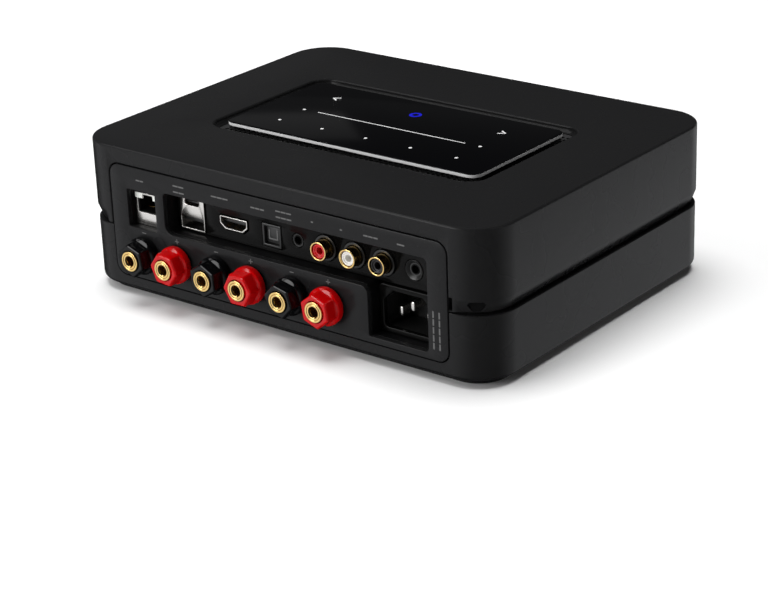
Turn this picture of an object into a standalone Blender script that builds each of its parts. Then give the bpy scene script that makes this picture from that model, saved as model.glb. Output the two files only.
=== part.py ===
"""A compact streaming amplifier with a floating touch glass on its top and all of its sockets in the rear.

Metres, +Z up. The origin is the centre of the base pad's underside, the front faces -Y and the sockets
face +Y. Each size is set once below, and everything that seats on it or in it follows by a clearance.
"""

import math

import bmesh
import bpy

# Whole object
WIDTH = 0.2200
DEPTH = 0.1687
HEIGHT = 0.0680
PLAN_RADIUS = 0.0185
GAP = 0.0003  # clearance kept between two separate pieces

# Shells
WALL = 0.0025
TOP_THICKNESS = 0.0030
TOP_EDGE_RADIUS = 0.0012
BOTTOM_EDGE_RADIUS = 0.0024
PAD_THICKNESS = 0.0026
PAD_INSET = 0.0055
SPLIT_HEIGHT = 0.0312  # top of the lower shell
GROOVE_HEIGHT = 0.0010
GROOVE_CHAMFER_IN = 0.0020
GROOVE_CHAMFER_UP = 0.0053
GROOVE_END_X = 0.0950  # the chamfer stops here, short of the rear panel
LOWER_SHELL_INSET = 0.0003
BAND_THICKNESS = 0.0020
BAND_OVERLAP = 0.0040
CORNER_STEPS = 7

# Small pocket in the groove at the rear corner
POCKET_ANGLE = math.radians(34)
POCKET_WIDTH = 0.0076
POCKET_FOOT = 0.0034
POCKET_RISE = 0.0010
POCKET_HEIGHT = 0.0044
POCKET_DEPTH = 0.0040
NOTCH_WIDTH = 0.0018
NOTCH_HEIGHT = 0.0056

# Top recess and touch glass
RECESS_LENGTH = 0.1460
RECESS_WIDTH = 0.0815
RECESS_RADIUS = 0.0090
RECESS_DEPTH = 0.0032
RECESS_SLOPE_IN = 0.0016
RECESS_SKIRT = 0.0022
TRAY_THICKNESS = 0.0012
GLASS_LENGTH = 0.1360
GLASS_WIDTH = 0.0672
GLASS_RADIUS = 0.0050
GLASS_THICKNESS = 0.0023
GLASS_PROUD = 0.0003
PEDESTAL_INSET = 0.0110

# Rear panel and its wells
PANEL_WIDTH = 0.1800
PANEL_BOTTOM = 0.0092
PANEL_TOP = 0.0601
PANEL_RADIUS = 0.0050
PANEL_SEAM = 0.0006
PANEL_THICKNESS = 0.0025
WELL_WALL = 0.0014
WELL_DEPTH = 0.0082
WELL_LEFT = 0.0595
WELL_RIGHT = -0.0803
WELL_TOP = 0.0518
WELL_FLOOR = 0.0333
WELL_RADIUS = 0.0040
PORT_PLATE_THICKNESS = 0.0012
SOCKET_AXIS = 0.0417  # height of the round sockets and of the video socket

# Mains inlet (IEC 60320 C14 opening and pins)
MAINS_LEFT = -0.0502
MAINS_FLOOR = 0.0119
MAINS_DEPTH = 0.0070
MAINS_CORNER = 0.0020
INLET_CENTRE_X = -0.0651
INLET_CENTRE_Z = 0.0226
INLET_WIDTH = 0.0240
INLET_HEIGHT = 0.0163
INLET_CHAMFER = 0.0045
INLET_CAVITY = 0.0160
INLET_FLANGE = 0.0020
INLET_WALL = 0.0015
PIN_WIDTH = 0.0020
PIN_HEIGHT = 0.0040
PIN_SPACING = 0.0140
EARTH_RISE = 0.0040
PIN_SETBACK = 0.0045
EARTH_SETBACK = 0.0030

# Network socket
LAN_X = 0.0726
LAN_WIDTH = 0.0150
LAN_BOTTOM = 0.0329
LAN_TOP = 0.0475
LAN_SETBACK = 0.0041
LAN_BODY = 0.0180
LAN_WELL_TOP = 0.0498
LAN_WELL_RADIUS = 0.0008
LAN_CONTACT_RISE = 0.0014
LAN_CONTACT_REACH = 0.0090
LAN_MOUTH_WIDTH = 0.0118
LAN_MOUTH_BOTTOM = 0.0386
LAN_MOUTH_TOP = 0.0458
LAN_MOUTH_DEPTH = 0.0130
LAN_LATCH_WIDTH = 0.0062
LAN_LATCH_TOP = 0.0468

# USB stack: type C above type A
USB_X = 0.0501
USB_WIDTH = 0.0136
USB_BOTTOM = 0.0344
USB_TOP = 0.0497
USB_PROUD = 0.0006
USB_BODY = 0.0160
USB_A_WIDTH = 0.0125
USB_A_HEIGHT = 0.0051
USB_A_Z = 0.0377
USB_A_DEPTH = 0.0110
USB_A_TONGUE_WIDTH = 0.0110
USB_A_TONGUE = 0.0017
USB_A_TONGUE_LIFT = 0.0002
USB_A_TONGUE_SETBACK = 0.0020
USB_C_WIDTH = 0.0083
USB_C_HEIGHT = 0.0027
USB_C_Z = 0.0469
USB_C_DEPTH = 0.0070
USB_C_TONGUE_WIDTH = 0.0066
USB_C_TONGUE = 0.0007
USB_C_TONGUE_SETBACK = 0.0012

# Video socket
VIDEO_X = 0.0269
VIDEO_WIDTH = 0.0151
VIDEO_HEIGHT = 0.0057
VIDEO_TAPER_IN = 0.0026
VIDEO_TAPER_UP = 0.0022
VIDEO_SHEET = 0.0005
VIDEO_BODY = 0.0110
VIDEO_BACK_WALL = 0.0015
VIDEO_TONGUE_WIDTH = 0.0109
VIDEO_TONGUE = 0.0012
VIDEO_TONGUE_LIFT = 0.0001
VIDEO_TONGUE_SETBACK = 0.0016
VIDEO_PROUD = 0.0005

# Optical socket and its spring door
OPTICAL_X = 0.0061
OPTICAL_Z = 0.0408
OPTICAL_SIZE = 0.0102
OPTICAL_MOUTH = 0.0078
OPTICAL_CAVITY = 0.0105
OPTICAL_BODY = 0.0130
DOOR_THICKNESS = 0.0008
DOOR_SETBACK = 0.0010
DOOR_HINGE_DROP = 0.0005

# Round sockets
AUX_X = -0.0079
AUX_RADIUS = 0.0029
IR_X = -0.0680
IR_RADIUS = 0.0043
JACK_BORE = 0.00178
JACK_BODY = 0.0120
RCA_XS = (-0.0230, -0.0380, -0.0530)
RCA_RADIUS = 0.00415
RCA_PROUD = 0.0055
RCA_TUBE = 0.0008
RCA_TAIL = 0.0040
RCA_PIN_BORE = 0.0016
RCA_WASHER_RADIUS = 0.0056
RCA_WASHER_PROUD = 0.0008
RCA_BLOCK_DEPTH = 0.0100
RCA_BLOCK_MARGIN = 0.0070

# Binding posts
POST_PAIR_XS = (0.0626, 0.0211, -0.0204)
POST_SPACING = 0.0192
POST_Z = 0.0211
POST_PROUD = 0.0104
POST_RADIUS = 0.0045
POST_BORE = 0.0021
POST_BORE_DEPTH = 0.0150
POST_TAIL = 0.0070
NUT_RADIUS = 0.0070
NUT_THICKNESS = 0.0028
CAP_FRONT = 0.0099  # the cap's end, out from the panel
CAP_BACK = 0.0008
CAP_CORNER_RADIUS = 0.0075  # round the hexagon's corners
CAP_FLANGE_RADIUS = 0.0083
CAP_FLANGE = 0.0032
CAP_END_ROUND = 0.0008
CAP_TURNS_DEG = (10.0, 24.0, 3.0, 31.0, 17.0, 9.0)
COLLAR_RADIUS = 0.0066
COLLAR_THICKNESS = 0.0013
COLLAR_BACK = 0.0004

# Inside
BOARD_THICKNESS = 0.0016
BOARDS_FRONT_Y = -0.0300
MAIN_BOARD_Z = 0.0315
MAIN_BOARD_LENGTH = 0.1500
MAIN_BOARD_WIDTH = 0.0850
POWER_BOARD_Z = 0.0110
POWER_BOARD_LENGTH = 0.1400
POWER_BOARD_WIDTH = 0.0800
TRANSFORMER_SIDE = 0.0300
TRANSFORMER_RISE = 0.0130
TRANSFORMER_X = -0.0450
TRANSFORMER_SETBACK = 0.0200
SINK_LENGTH = 0.0900
SINK_WIDTH = 0.0420
SINK_BASE = 0.0030
SINK_RISE = 0.0140
SINK_CLEARANCE = 0.0020
SINK_FINS = 9
SINK_FIN = 0.0018

# Case screws, up through the pad and the lower shell
SCREW_INSET = 0.0200
SCREW_HEAD_RADIUS = 0.0030
SCREW_HEAD = 0.0012
SCREW_SHANK_RADIUS = 0.0014
SCREW_LENGTH = 0.0110
SCREW_STEPS = 12
PILLAR_RADIUS = 0.0038

REAR = DEPTH / 2
PLATE_Y = REAR - WELL_DEPTH  # front face of the port plate
INLET_Y = REAR - MAINS_DEPTH
SHELL_BOTTOM = PAD_THICKNESS + GAP
UPPER_BOTTOM = SPLIT_HEIGHT + GROOVE_HEIGHT
RECESS_FLOOR = HEIGHT - RECESS_DEPTH
GLASS_TOP = HEIGHT + GLASS_PROUD

COLOURS = {
    "shell": ((0.034, 0.034, 0.036), 0.45, 0.0),
    "panel": ((0.034, 0.034, 0.036), 0.45, 0.0),
    "pad": ((0.008, 0.008, 0.009), 0.85, 0.0),
    "black": ((0.006, 0.006, 0.007), 0.35, 0.0),
    "plate": ((0.050, 0.048, 0.047), 0.30, 0.0),
    "glass": ((0.003, 0.003, 0.004), 0.05, 0.0),
    "gold": ((0.830, 0.600, 0.260), 0.22, 1.0),
    "steel": ((0.620, 0.610, 0.590), 0.25, 1.0),
    "nickel": ((0.720, 0.700, 0.660), 0.18, 1.0),
    "aluminium": ((0.700, 0.700, 0.700), 0.35, 1.0),
    "red": ((0.560, 0.004, 0.008), 0.12, 0.0),
    "cap_black": ((0.010, 0.010, 0.011), 0.12, 0.0),
    "white": ((0.780, 0.770, 0.740), 0.40, 0.0),
    "board": ((0.010, 0.080, 0.035), 0.50, 0.0),
    "winding": ((0.600, 0.420, 0.060), 0.50, 0.0),
}


def clear_scene():
    for obj in list(bpy.data.objects):
        bpy.data.objects.remove(obj, do_unlink=True)


def make_material(name):
    colour, roughness, metallic = COLOURS[name]
    material = bpy.data.materials.new(name)
    material.use_nodes = True
    shader = material.node_tree.nodes["Principled BSDF"]
    shader.inputs["Base Color"].default_value = (*colour, 1.0)
    shader.inputs["Roughness"].default_value = roughness
    shader.inputs["Metallic"].default_value = metallic
    material.diffuse_color = (*colour, 1.0)
    return material


def make_collection(name):
    collection = bpy.data.collections.new(name)
    bpy.context.scene.collection.children.link(collection)
    return collection


clear_scene()
PARTS = make_collection("bluetooth_audio_receiver")
CUTTERS = make_collection("cutters")
MATERIALS = {name: make_material(name) for name in COLOURS}


# Helpers: every one returns an object, either a part with a material or a hidden cutter.


def finish_mesh(bm, name, material, smooth=True):
    bmesh.ops.recalc_face_normals(bm, faces=bm.faces)
    mesh = bpy.data.meshes.new(name)
    bm.to_mesh(mesh)
    bm.free()
    obj = bpy.data.objects.new(name, mesh)
    if material is None:
        CUTTERS.objects.link(obj)
        obj.hide_render = True
        obj.display_type = "WIRE"
    else:
        PARTS.objects.link(obj)
        mesh.materials.append(MATERIALS[material])
        if smooth:
            mesh.shade_smooth()
            mesh.set_sharp_from_angle(angle=math.radians(35))
    return obj


def box(name, low, high, material=None):
    """A box between two corners."""
    bm = bmesh.new()
    bmesh.ops.create_cube(bm, size=1.0)
    size = [h - l for l, h in zip(low, high)]
    bmesh.ops.scale(bm, vec=size, verts=bm.verts)
    bmesh.ops.translate(bm, vec=[(h + l) / 2 for l, h in zip(low, high)], verts=bm.verts)
    return finish_mesh(bm, name, material, smooth=False)


def fillet(corners, radii, steps=4):
    """The outline through these corners with each one rounded by its radius."""
    points = []
    for i, (x, y) in enumerate(corners):
        before, after = corners[i - 1], corners[(i + 1) % len(corners)]
        radius = radii[i] if isinstance(radii, (list, tuple)) else radii
        if radius <= 0:
            points.append((x, y))
            continue
        u = (before[0] - x, before[1] - y)
        v = (after[0] - x, after[1] - y)
        lu, lv = math.hypot(*u), math.hypot(*v)
        u, v = (u[0] / lu, u[1] / lu), (v[0] / lv, v[1] / lv)
        half = math.acos(max(-1.0, min(1.0, u[0] * v[0] + u[1] * v[1]))) / 2
        back = radius / math.tan(half)
        centre_far = radius / math.sin(half)
        bisector = (u[0] + v[0], u[1] + v[1])
        lb = math.hypot(*bisector)
        cx, cy = x + bisector[0] / lb * centre_far, y + bisector[1] / lb * centre_far
        a0 = math.atan2(y + u[1] * back - cy, x + u[0] * back - cx)
        a1 = math.atan2(y + v[1] * back - cy, x + v[0] * back - cx)
        turn = (a1 - a0 + math.pi) % (2 * math.pi) - math.pi
        for k in range(steps + 1):
            a = a0 + turn * k / steps
            points.append((cx + radius * math.cos(a), cy + radius * math.sin(a)))
    return points


def rectangle(x0, x1, y0, y1, radius=0.0, steps=4):
    return fillet([(x0, y0), (x1, y0), (x1, y1), (x0, y1)], radius, steps)


def circle(x, y, radius, steps=24, turn=0.0):
    angles = [turn + 2 * math.pi * k / steps for k in range(steps)]
    return [(x + radius * math.cos(a), y + radius * math.sin(a)) for a in angles]


def curve_outline(name, outlines, thickness):
    """A flat outline with holes, as a 2D curve that is filled and extruded by half its thickness each way."""
    data = bpy.data.curves.new(name, "CURVE")
    data.dimensions = "2D"
    data.fill_mode = "BOTH"
    data.extrude = thickness / 2
    for outline in outlines:
        spline = data.splines.new("POLY")
        spline.points.add(len(outline) - 1)
        for point, (x, y) in zip(spline.points, outline):
            point.co = (x, y, 0.0, 1.0)
        spline.use_cyclic_u = True
    return bpy.data.objects.new(name, data)


def upright(name, outlines, front, thickness, material=None):
    """An extruded outline made a mesh: it stands in the XZ plane, with its +Y face at `front`."""
    guide = curve_outline(name + "_outline", outlines, thickness)
    CUTTERS.objects.link(guide)
    guide.rotation_euler = (math.pi / 2, 0.0, 0.0)
    guide.location = (0.0, front - thickness / 2, 0.0)
    bpy.context.view_layer.update()
    graph = bpy.context.evaluated_depsgraph_get()
    mesh = bpy.data.meshes.new_from_object(guide.evaluated_get(graph))
    matrix = guide.matrix_world.copy()
    bpy.data.objects.remove(guide, do_unlink=True)
    bm = bmesh.new()
    bm.from_mesh(mesh)
    bpy.data.meshes.remove(mesh)
    bmesh.ops.remove_doubles(bm, verts=bm.verts, dist=1e-6)
    bmesh.ops.transform(bm, matrix=matrix, verts=bm.verts)
    return finish_mesh(bm, name, material)


def ring_points(length, width, radius, inset, z):
    """One rounded rectangle, drawn in by an inset, as a ring of points at one height."""
    a, b = length / 2 - inset, width / 2 - inset
    r = max(radius - inset, 0.0006)
    points = []
    for quarter, (sx, sy) in enumerate(((1, 1), (-1, 1), (-1, -1), (1, -1))):
        for k in range(CORNER_STEPS + 1):
            t = math.pi / 2 * (quarter + k / CORNER_STEPS)
            points.append((sx * (a - r) + r * math.cos(t), sy * (b - r) + r * math.sin(t), z))
    return points


def rounded_loft(name, length, width, radius, profile, material=None, closed=False):
    """A loft of rounded rectangles. The profile is a list of (inset, height), and closed joins its ends."""
    bm = bmesh.new()
    rings = []
    for inset, z in profile:
        rings.append([bm.verts.new(p) for p in ring_points(length, width, radius, inset, z)])
    pairs = list(zip(rings[:-1], rings[1:]))
    if closed:
        pairs.append((rings[-1], rings[0]))
    for below, above in pairs:
        for k in range(len(below)):
            j = (k + 1) % len(below)
            bm.faces.new((below[k], below[j], above[j], above[k]))
    if not closed:
        bm.faces.new(reversed(rings[0]))
        bm.faces.new(rings[-1])
    return finish_mesh(bm, name, material)


def turned(name, profile, x, z, material=None, steps=24):
    """A part turned about an axis along Y. Profile points are (radius, place along +Y), in order."""
    ends = list(zip(profile, profile[1:] + profile[:1]))
    area = sum(r0 * z1 - r1 * z0 for (r0, z0), (r1, z1) in ends)
    points = profile[::-1] if area > 0 else profile  # down the outer side, so that the faces point out
    bm = bmesh.new()
    verts = [bm.verts.new((radius, 0.0, place)) for radius, place in points]
    for a, b in zip(verts, verts[1:] + verts[:1]):
        if a.co.x > 0 or b.co.x > 0:
            bm.edges.new((a, b))
    mesh = bpy.data.meshes.new(name)
    bm.to_mesh(mesh)
    bm.free()
    obj = bpy.data.objects.new(name, mesh)
    (CUTTERS if material is None else PARTS).objects.link(obj)
    screw = obj.modifiers.new("turn", "SCREW")
    screw.axis = "Z"
    screw.steps = steps
    screw.render_steps = steps
    screw.use_merge_vertices = True
    screw.merge_threshold = 1e-6
    obj.rotation_euler = (-math.pi / 2, 0.0, 0.0)
    obj.location = (x, 0.0, z)
    if material is None:
        obj.hide_render = True
        obj.display_type = "WIRE"
    else:
        mesh.materials.append(MATERIALS[material])
    return obj


def boolean(obj, other, operation):
    modifier = obj.modifiers.new(operation.lower(), "BOOLEAN")
    modifier.operation = operation
    modifier.object = other


def cut(obj, *others):
    for other in others:
        boolean(obj, other, "DIFFERENCE")


def join(obj, *others):
    for other in others:
        boolean(obj, other, "UNION")


# Enclosure


def make_base_pad():
    length, width = WIDTH - 2 * PAD_INSET, DEPTH - 2 * PAD_INSET
    profile = [(0.0, 0.0), (0.0, PAD_THICKNESS)]
    pad = rounded_loft("base_pad", length, width, PLAN_RADIUS - PAD_INSET, profile, "pad")
    for x, y in screw_places():
        cut(pad, standing(f"pad_hole_{x:.3f}_{y:.3f}", rod(SCREW_HEAD_RADIUS + GAP, -0.01, 0.01), x, y))
    return pad


def screw_places():
    a, b = WIDTH / 2 - SCREW_INSET, DEPTH / 2 - SCREW_INSET
    return [(sx * a, sy * b) for sx in (1, -1) for sy in (1, -1)]


def rod(radius, start, end):
    """The profile of a plain cylinder."""
    return [(0.0, start), (radius, start), (radius, end), (0.0, end)]


def standing(name, profile, x, y, material=None):
    """A small turned part or cutter whose axis stands along Z."""
    obj = turned(name, profile, x, 0.0, material, steps=SCREW_STEPS)
    obj.rotation_euler = (0.0, 0.0, 0.0)
    obj.location = (x, y, 0.0)
    return obj


def edge_profile(radius, steps, outer, z, downward):
    """Points of a rounded outer edge, from its flat face to its side or back."""
    points = []
    for k in range(steps + 1):
        t = math.pi / 2 * k / steps
        inset = outer + radius * (1 - math.sin(t))
        rise = radius * (1 - math.cos(t))
        points.append((inset, z + rise if downward else z - rise))
    return points


def opening_cutter():
    """The rear opening that the panel fills, with a seam round it."""
    half = PANEL_WIDTH / 2 + PANEL_SEAM
    outline = rectangle(
        -half, half, PANEL_BOTTOM - PANEL_SEAM, PANEL_TOP + PANEL_SEAM, PANEL_RADIUS + PANEL_SEAM
    )
    return upright("rear_opening", [outline], REAR + 0.01, 0.01 + 3 * WALL)


def make_lower_shell(opening):
    inset = LOWER_SHELL_INSET
    floor = SHELL_BOTTOM + WALL
    profile = edge_profile(BOTTOM_EDGE_RADIUS, 4, inset, SHELL_BOTTOM, True)
    profile += [(inset, SPLIT_HEIGHT), (inset + WALL, SPLIT_HEIGHT), (inset + WALL, floor)]
    shell = rounded_loft("lower_shell", WIDTH, DEPTH, PLAN_RADIUS, profile, "shell")
    cut(shell, opening)
    for x, y in screw_places():
        cut(shell, standing(f"floor_hole_{x:.3f}_{y:.3f}", rod(SCREW_SHANK_RADIUS + GAP, -0.01, 0.02), x, y))
    return shell


def groove_cutter():
    """Takes the chamfer off the upper shell's lower edge, and stops short of the rear panel."""
    low = UPPER_BOTTOM
    over = 0.002
    profile = [
        (-over, low - over),
        (GROOVE_CHAMFER_IN * (1 + over / GROOVE_CHAMFER_UP), low - over),
        (0.0, low + GROOVE_CHAMFER_UP),
        (-over, low + GROOVE_CHAMFER_UP),
    ]
    ring = rounded_loft("groove_chamfer", WIDTH, DEPTH, PLAN_RADIUS, profile, closed=True)
    stop_at = box(
        "groove_end",
        (-GROOVE_END_X, 0.0, low - 2 * over),
        (GROOVE_END_X, REAR + 2 * over, low + 2 * GROOVE_CHAMFER_UP),
    )
    cut(ring, stop_at)
    return ring


def pocket_cutter():
    """A small slot with a flat top and a narrower foot, at the rear corner on the -X side."""
    low = UPPER_BOTTOM + POCKET_RISE / 2
    top = low + POCKET_HEIGHT
    shoulder = top - POCKET_HEIGHT * 0.38
    a, b, c = POCKET_WIDTH / 2, POCKET_FOOT / 2, POCKET_WIDTH / 2 - 0.001
    corners = [(-b, low), (b, low), (a, shoulder), (c, top), (-c, top), (-a, shoulder)]
    slot = upright("corner_pocket", [fillet(corners, 0.0006, 2)], POCKET_DEPTH, 2 * POCKET_DEPTH)
    slot.rotation_euler = (0.0, 0.0, POCKET_ANGLE)
    far = PLAN_RADIUS
    centre_x = -(WIDTH / 2 - PLAN_RADIUS)
    centre_y = DEPTH / 2 - PLAN_RADIUS
    slot.location = (
        centre_x - far * math.sin(POCKET_ANGLE),
        centre_y + far * math.cos(POCKET_ANGLE),
        0.0,
    )
    return slot


def make_upper_shell(opening):
    inner_top = HEIGHT - TOP_THICKNESS
    profile = [(WALL, inner_top), (WALL, UPPER_BOTTOM), (0.0, UPPER_BOTTOM)]
    profile += reversed(edge_profile(TOP_EDGE_RADIUS, 3, 0.0, HEIGHT, False))
    shell = rounded_loft("upper_shell", WIDTH, DEPTH, PLAN_RADIUS, profile, "shell")

    skirt_profile = [
        (-RECESS_SKIRT, RECESS_FLOOR),
        (-RECESS_SKIRT, HEIGHT - TOP_THICKNESS / 2),
        (RECESS_SLOPE_IN + 0.001, HEIGHT - TOP_THICKNESS / 2),
        (RECESS_SLOPE_IN + 0.001, RECESS_FLOOR),
    ]
    skirt = rounded_loft(
        "recess_skirt", RECESS_LENGTH, RECESS_WIDTH, RECESS_RADIUS, skirt_profile, closed=True
    )
    join(shell, skirt)
    low = SHELL_BOTTOM + WALL + GAP
    for x, y in screw_places():
        pillar = rod(PILLAR_RADIUS, low, inner_top + 0.001)
        join(shell, standing(f"pillar_{x:.3f}_{y:.3f}", pillar, x, y))
    for x, y in screw_places():
        bore = rod(SCREW_SHANK_RADIUS + GAP, low - 0.001, SCREW_LENGTH + 0.002)
        cut(shell, standing(f"pillar_bore_{x:.3f}_{y:.3f}", bore, x, y))

    slope = RECESS_SLOPE_IN / RECESS_DEPTH
    over = 0.001
    recess = rounded_loft(
        "top_recess",
        RECESS_LENGTH,
        RECESS_WIDTH,
        RECESS_RADIUS,
        [
            (RECESS_SLOPE_IN + slope * over, RECESS_FLOOR - over),
            (0.0004, HEIGHT - 0.0010),
            (-0.0006, HEIGHT),
            (-0.0006 - over, HEIGHT + over),
        ],
    )
    cut(shell, recess, opening, groove_cutter(), pocket_cutter())
    edge = -(PANEL_WIDTH / 2 + PANEL_SEAM)
    notch_low = UPPER_BOTTOM + 0.0003
    cut(
        shell,
        box(
            "seam_notch",
            (edge - NOTCH_WIDTH, REAR - WALL - 0.001, notch_low),
            (edge + 0.001, REAR + 0.001, notch_low + NOTCH_HEIGHT),
        ),
    )
    return shell


def make_parting_band():
    """A dark tongue inside both shells, which lines them up and closes the groove from within."""
    outer = LOWER_SHELL_INSET + WALL + GAP
    low, high = SPLIT_HEIGHT - BAND_OVERLAP, UPPER_BOTTOM + BAND_OVERLAP + 0.002
    inner = outer + BAND_THICKNESS
    profile = [(outer, low), (outer, high), (inner, high), (inner, low)]
    band = rounded_loft("parting_band", WIDTH, DEPTH, PLAN_RADIUS, profile, "black", closed=True)
    half = PANEL_WIDTH / 2 - 0.0005
    cut(band, box("band_gap", (-half, REAR - 0.02, low - 0.01), (half, REAR + 0.01, high + 0.01)))
    return band


def make_screws():
    for number, (x, y) in enumerate(screw_places(), 1):
        low = PAD_THICKNESS - SCREW_HEAD
        profile = [
            (0.0, low),
            (SCREW_HEAD_RADIUS, low),
            (SCREW_HEAD_RADIUS, PAD_THICKNESS),
            (SCREW_SHANK_RADIUS, PAD_THICKNESS),
            (SCREW_SHANK_RADIUS, low + SCREW_LENGTH),
            (0.0, low + SCREW_LENGTH),
        ]
        standing(f"case_screw_{number}", profile, x, y, "steel")


# Top


def make_touch_top():
    tray_top = RECESS_FLOOR - GAP
    outer = RECESS_LENGTH + 2 * RECESS_SKIRT
    rounded_loft(
        "vent_tray",
        outer,
        RECESS_WIDTH + 2 * RECESS_SKIRT,
        RECESS_RADIUS + RECESS_SKIRT,
        [(0.0, tray_top - TRAY_THICKNESS), (0.0, tray_top)],
        "shell",
    )
    glass_low = GLASS_TOP - GLASS_THICKNESS
    rounded_loft(
        "touch_pedestal",
        GLASS_LENGTH - 2 * PEDESTAL_INSET,
        GLASS_WIDTH - 2 * PEDESTAL_INSET,
        GLASS_RADIUS,
        [(0.0, tray_top + GAP), (0.0, glass_low - GAP)],
        "black",
    )
    edge = 0.0004
    rounded_loft(
        "touch_glass",
        GLASS_LENGTH,
        GLASS_WIDTH,
        GLASS_RADIUS,
        [
            (edge, glass_low),
            (0.0, glass_low + edge),
            (0.0, GLASS_TOP - edge / 2),
            (edge / 2, GLASS_TOP),
        ],
        "glass",
    )


# Rear panel and wells


def post_places():
    places = []
    for centre in POST_PAIR_XS:
        places += [centre + POST_SPACING / 2, centre - POST_SPACING / 2]
    return places


def well_outline(grow=0.0):
    """The L-shaped well: the socket row, and the mains inlet's drop on the -X side."""
    corners = [
        (WELL_LEFT + grow, WELL_TOP + grow),
        (WELL_RIGHT - grow, WELL_TOP + grow),
        (WELL_RIGHT - grow, MAINS_FLOOR - grow),
        (MAINS_LEFT + grow, MAINS_FLOOR - grow),
        (MAINS_LEFT + grow, WELL_FLOOR - grow),
        (WELL_LEFT + grow, WELL_FLOOR - grow),
    ]
    top, low, inner = WELL_RADIUS / 2 + grow, MAINS_CORNER + grow, 0.0035 - grow
    return fillet(corners, [top, low, low, low / 2, inner, WELL_RADIUS + grow], 4)


def lan_outline(grow=0.0):
    half = LAN_WIDTH / 2 + 2 * GAP + grow
    low, high = LAN_BOTTOM - GAP - grow, LAN_WELL_TOP + grow
    return rectangle(LAN_X - half, LAN_X + half, low, high, LAN_WELL_RADIUS + grow)


def make_rear_panel():
    half = PANEL_WIDTH / 2
    outlines = [
        rectangle(-half, half, PANEL_BOTTOM, PANEL_TOP, PANEL_RADIUS),
        well_outline(),
        lan_outline(),
    ]
    for x in post_places():
        outlines.append(circle(x, POST_Z, POST_RADIUS + GAP, 20))
    upright("rear_panel", outlines, REAR, PANEL_THICKNESS, "panel")


def make_wells():
    front = REAR - PANEL_THICKNESS - GAP
    depth = WELL_DEPTH + PORT_PLATE_THICKNESS - PANEL_THICKNESS - GAP
    upright("port_well", [well_outline(WELL_WALL), well_outline(0.0)], front, depth, "black")
    lan_depth = LAN_SETBACK + 0.003 - PANEL_THICKNESS
    upright("lan_well", [lan_outline(WELL_WALL / 2), lan_outline(0.0)], front, lan_depth, "black")


def video_outline(grow=0.0):
    a, h = VIDEO_WIDTH / 2 + grow, VIDEO_HEIGHT / 2 + grow
    tuck, rise = VIDEO_TAPER_IN, VIDEO_TAPER_UP
    corners = [(a, h), (-a, h), (-a, -h + rise), (-a + tuck, -h), (a - tuck, -h), (a, -h + rise)]
    return fillet([(VIDEO_X + x, SOCKET_AXIS + z) for x, z in corners], 0.0004 + grow, 2)


def make_port_plate():
    side = GAP
    clear = 2 * GAP
    corners = [
        (WELL_LEFT - side, WELL_TOP - side),
        (WELL_RIGHT + side, WELL_TOP - side),
        (WELL_RIGHT + side, WELL_FLOOR + side),
        (WELL_LEFT - side, WELL_FLOOR + side),
    ]
    outlines = [fillet(corners, [WELL_RADIUS / 2, MAINS_CORNER, 0.0, WELL_RADIUS], 4)]
    half = USB_WIDTH / 2 + clear
    outlines.append(rectangle(USB_X - half, USB_X + half, USB_BOTTOM - clear, USB_TOP + clear, 0.0005, 2))
    outlines.append(video_outline(clear))
    half = OPTICAL_SIZE / 2 + GAP
    outlines.append(
        rectangle(OPTICAL_X - half, OPTICAL_X + half, OPTICAL_Z - half, OPTICAL_Z + half, 0.0004, 2)
    )
    outlines.append(circle(AUX_X, SOCKET_AXIS, AUX_RADIUS + GAP, 24))
    outlines.append(circle(IR_X, SOCKET_AXIS, IR_RADIUS + GAP, 28))
    for x in RCA_XS:
        outlines.append(circle(x, SOCKET_AXIS, RCA_WASHER_RADIUS + GAP, 24))
    upright("port_plate", outlines, PLATE_Y, PORT_PLATE_THICKNESS, "plate")


# Sockets


def mouth_box(name, x, width, low, high, deep, front, material=None):
    """A box centred on x, between two heights, from `deep` out to `front`."""
    return box(name, (x - width / 2, deep, low), (x + width / 2, front, high), material)


def make_lan_jack():
    front = REAR - LAN_SETBACK
    deep = front - LAN_MOUTH_DEPTH
    past = front + 0.01
    latch_low = LAN_MOUTH_TOP - 0.001
    jack = mouth_box("lan_jack", LAN_X, LAN_WIDTH, LAN_BOTTOM, LAN_TOP, front - LAN_BODY, front, "nickel")
    cut(jack, mouth_box("lan_mouth", LAN_X, LAN_MOUTH_WIDTH, LAN_MOUTH_BOTTOM, LAN_MOUTH_TOP, deep, past))
    cut(jack, mouth_box("lan_latch", LAN_X, LAN_LATCH_WIDTH, latch_low, LAN_LATCH_TOP, deep, past))
    low = LAN_MOUTH_BOTTOM + GAP
    high = low + LAN_CONTACT_RISE
    width = LAN_MOUTH_WIDTH - 2 * LAN_CONTACT_RISE
    mouth_box("lan_contacts", LAN_X, width, low, high, deep + GAP, deep + LAN_CONTACT_REACH, "gold")


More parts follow.
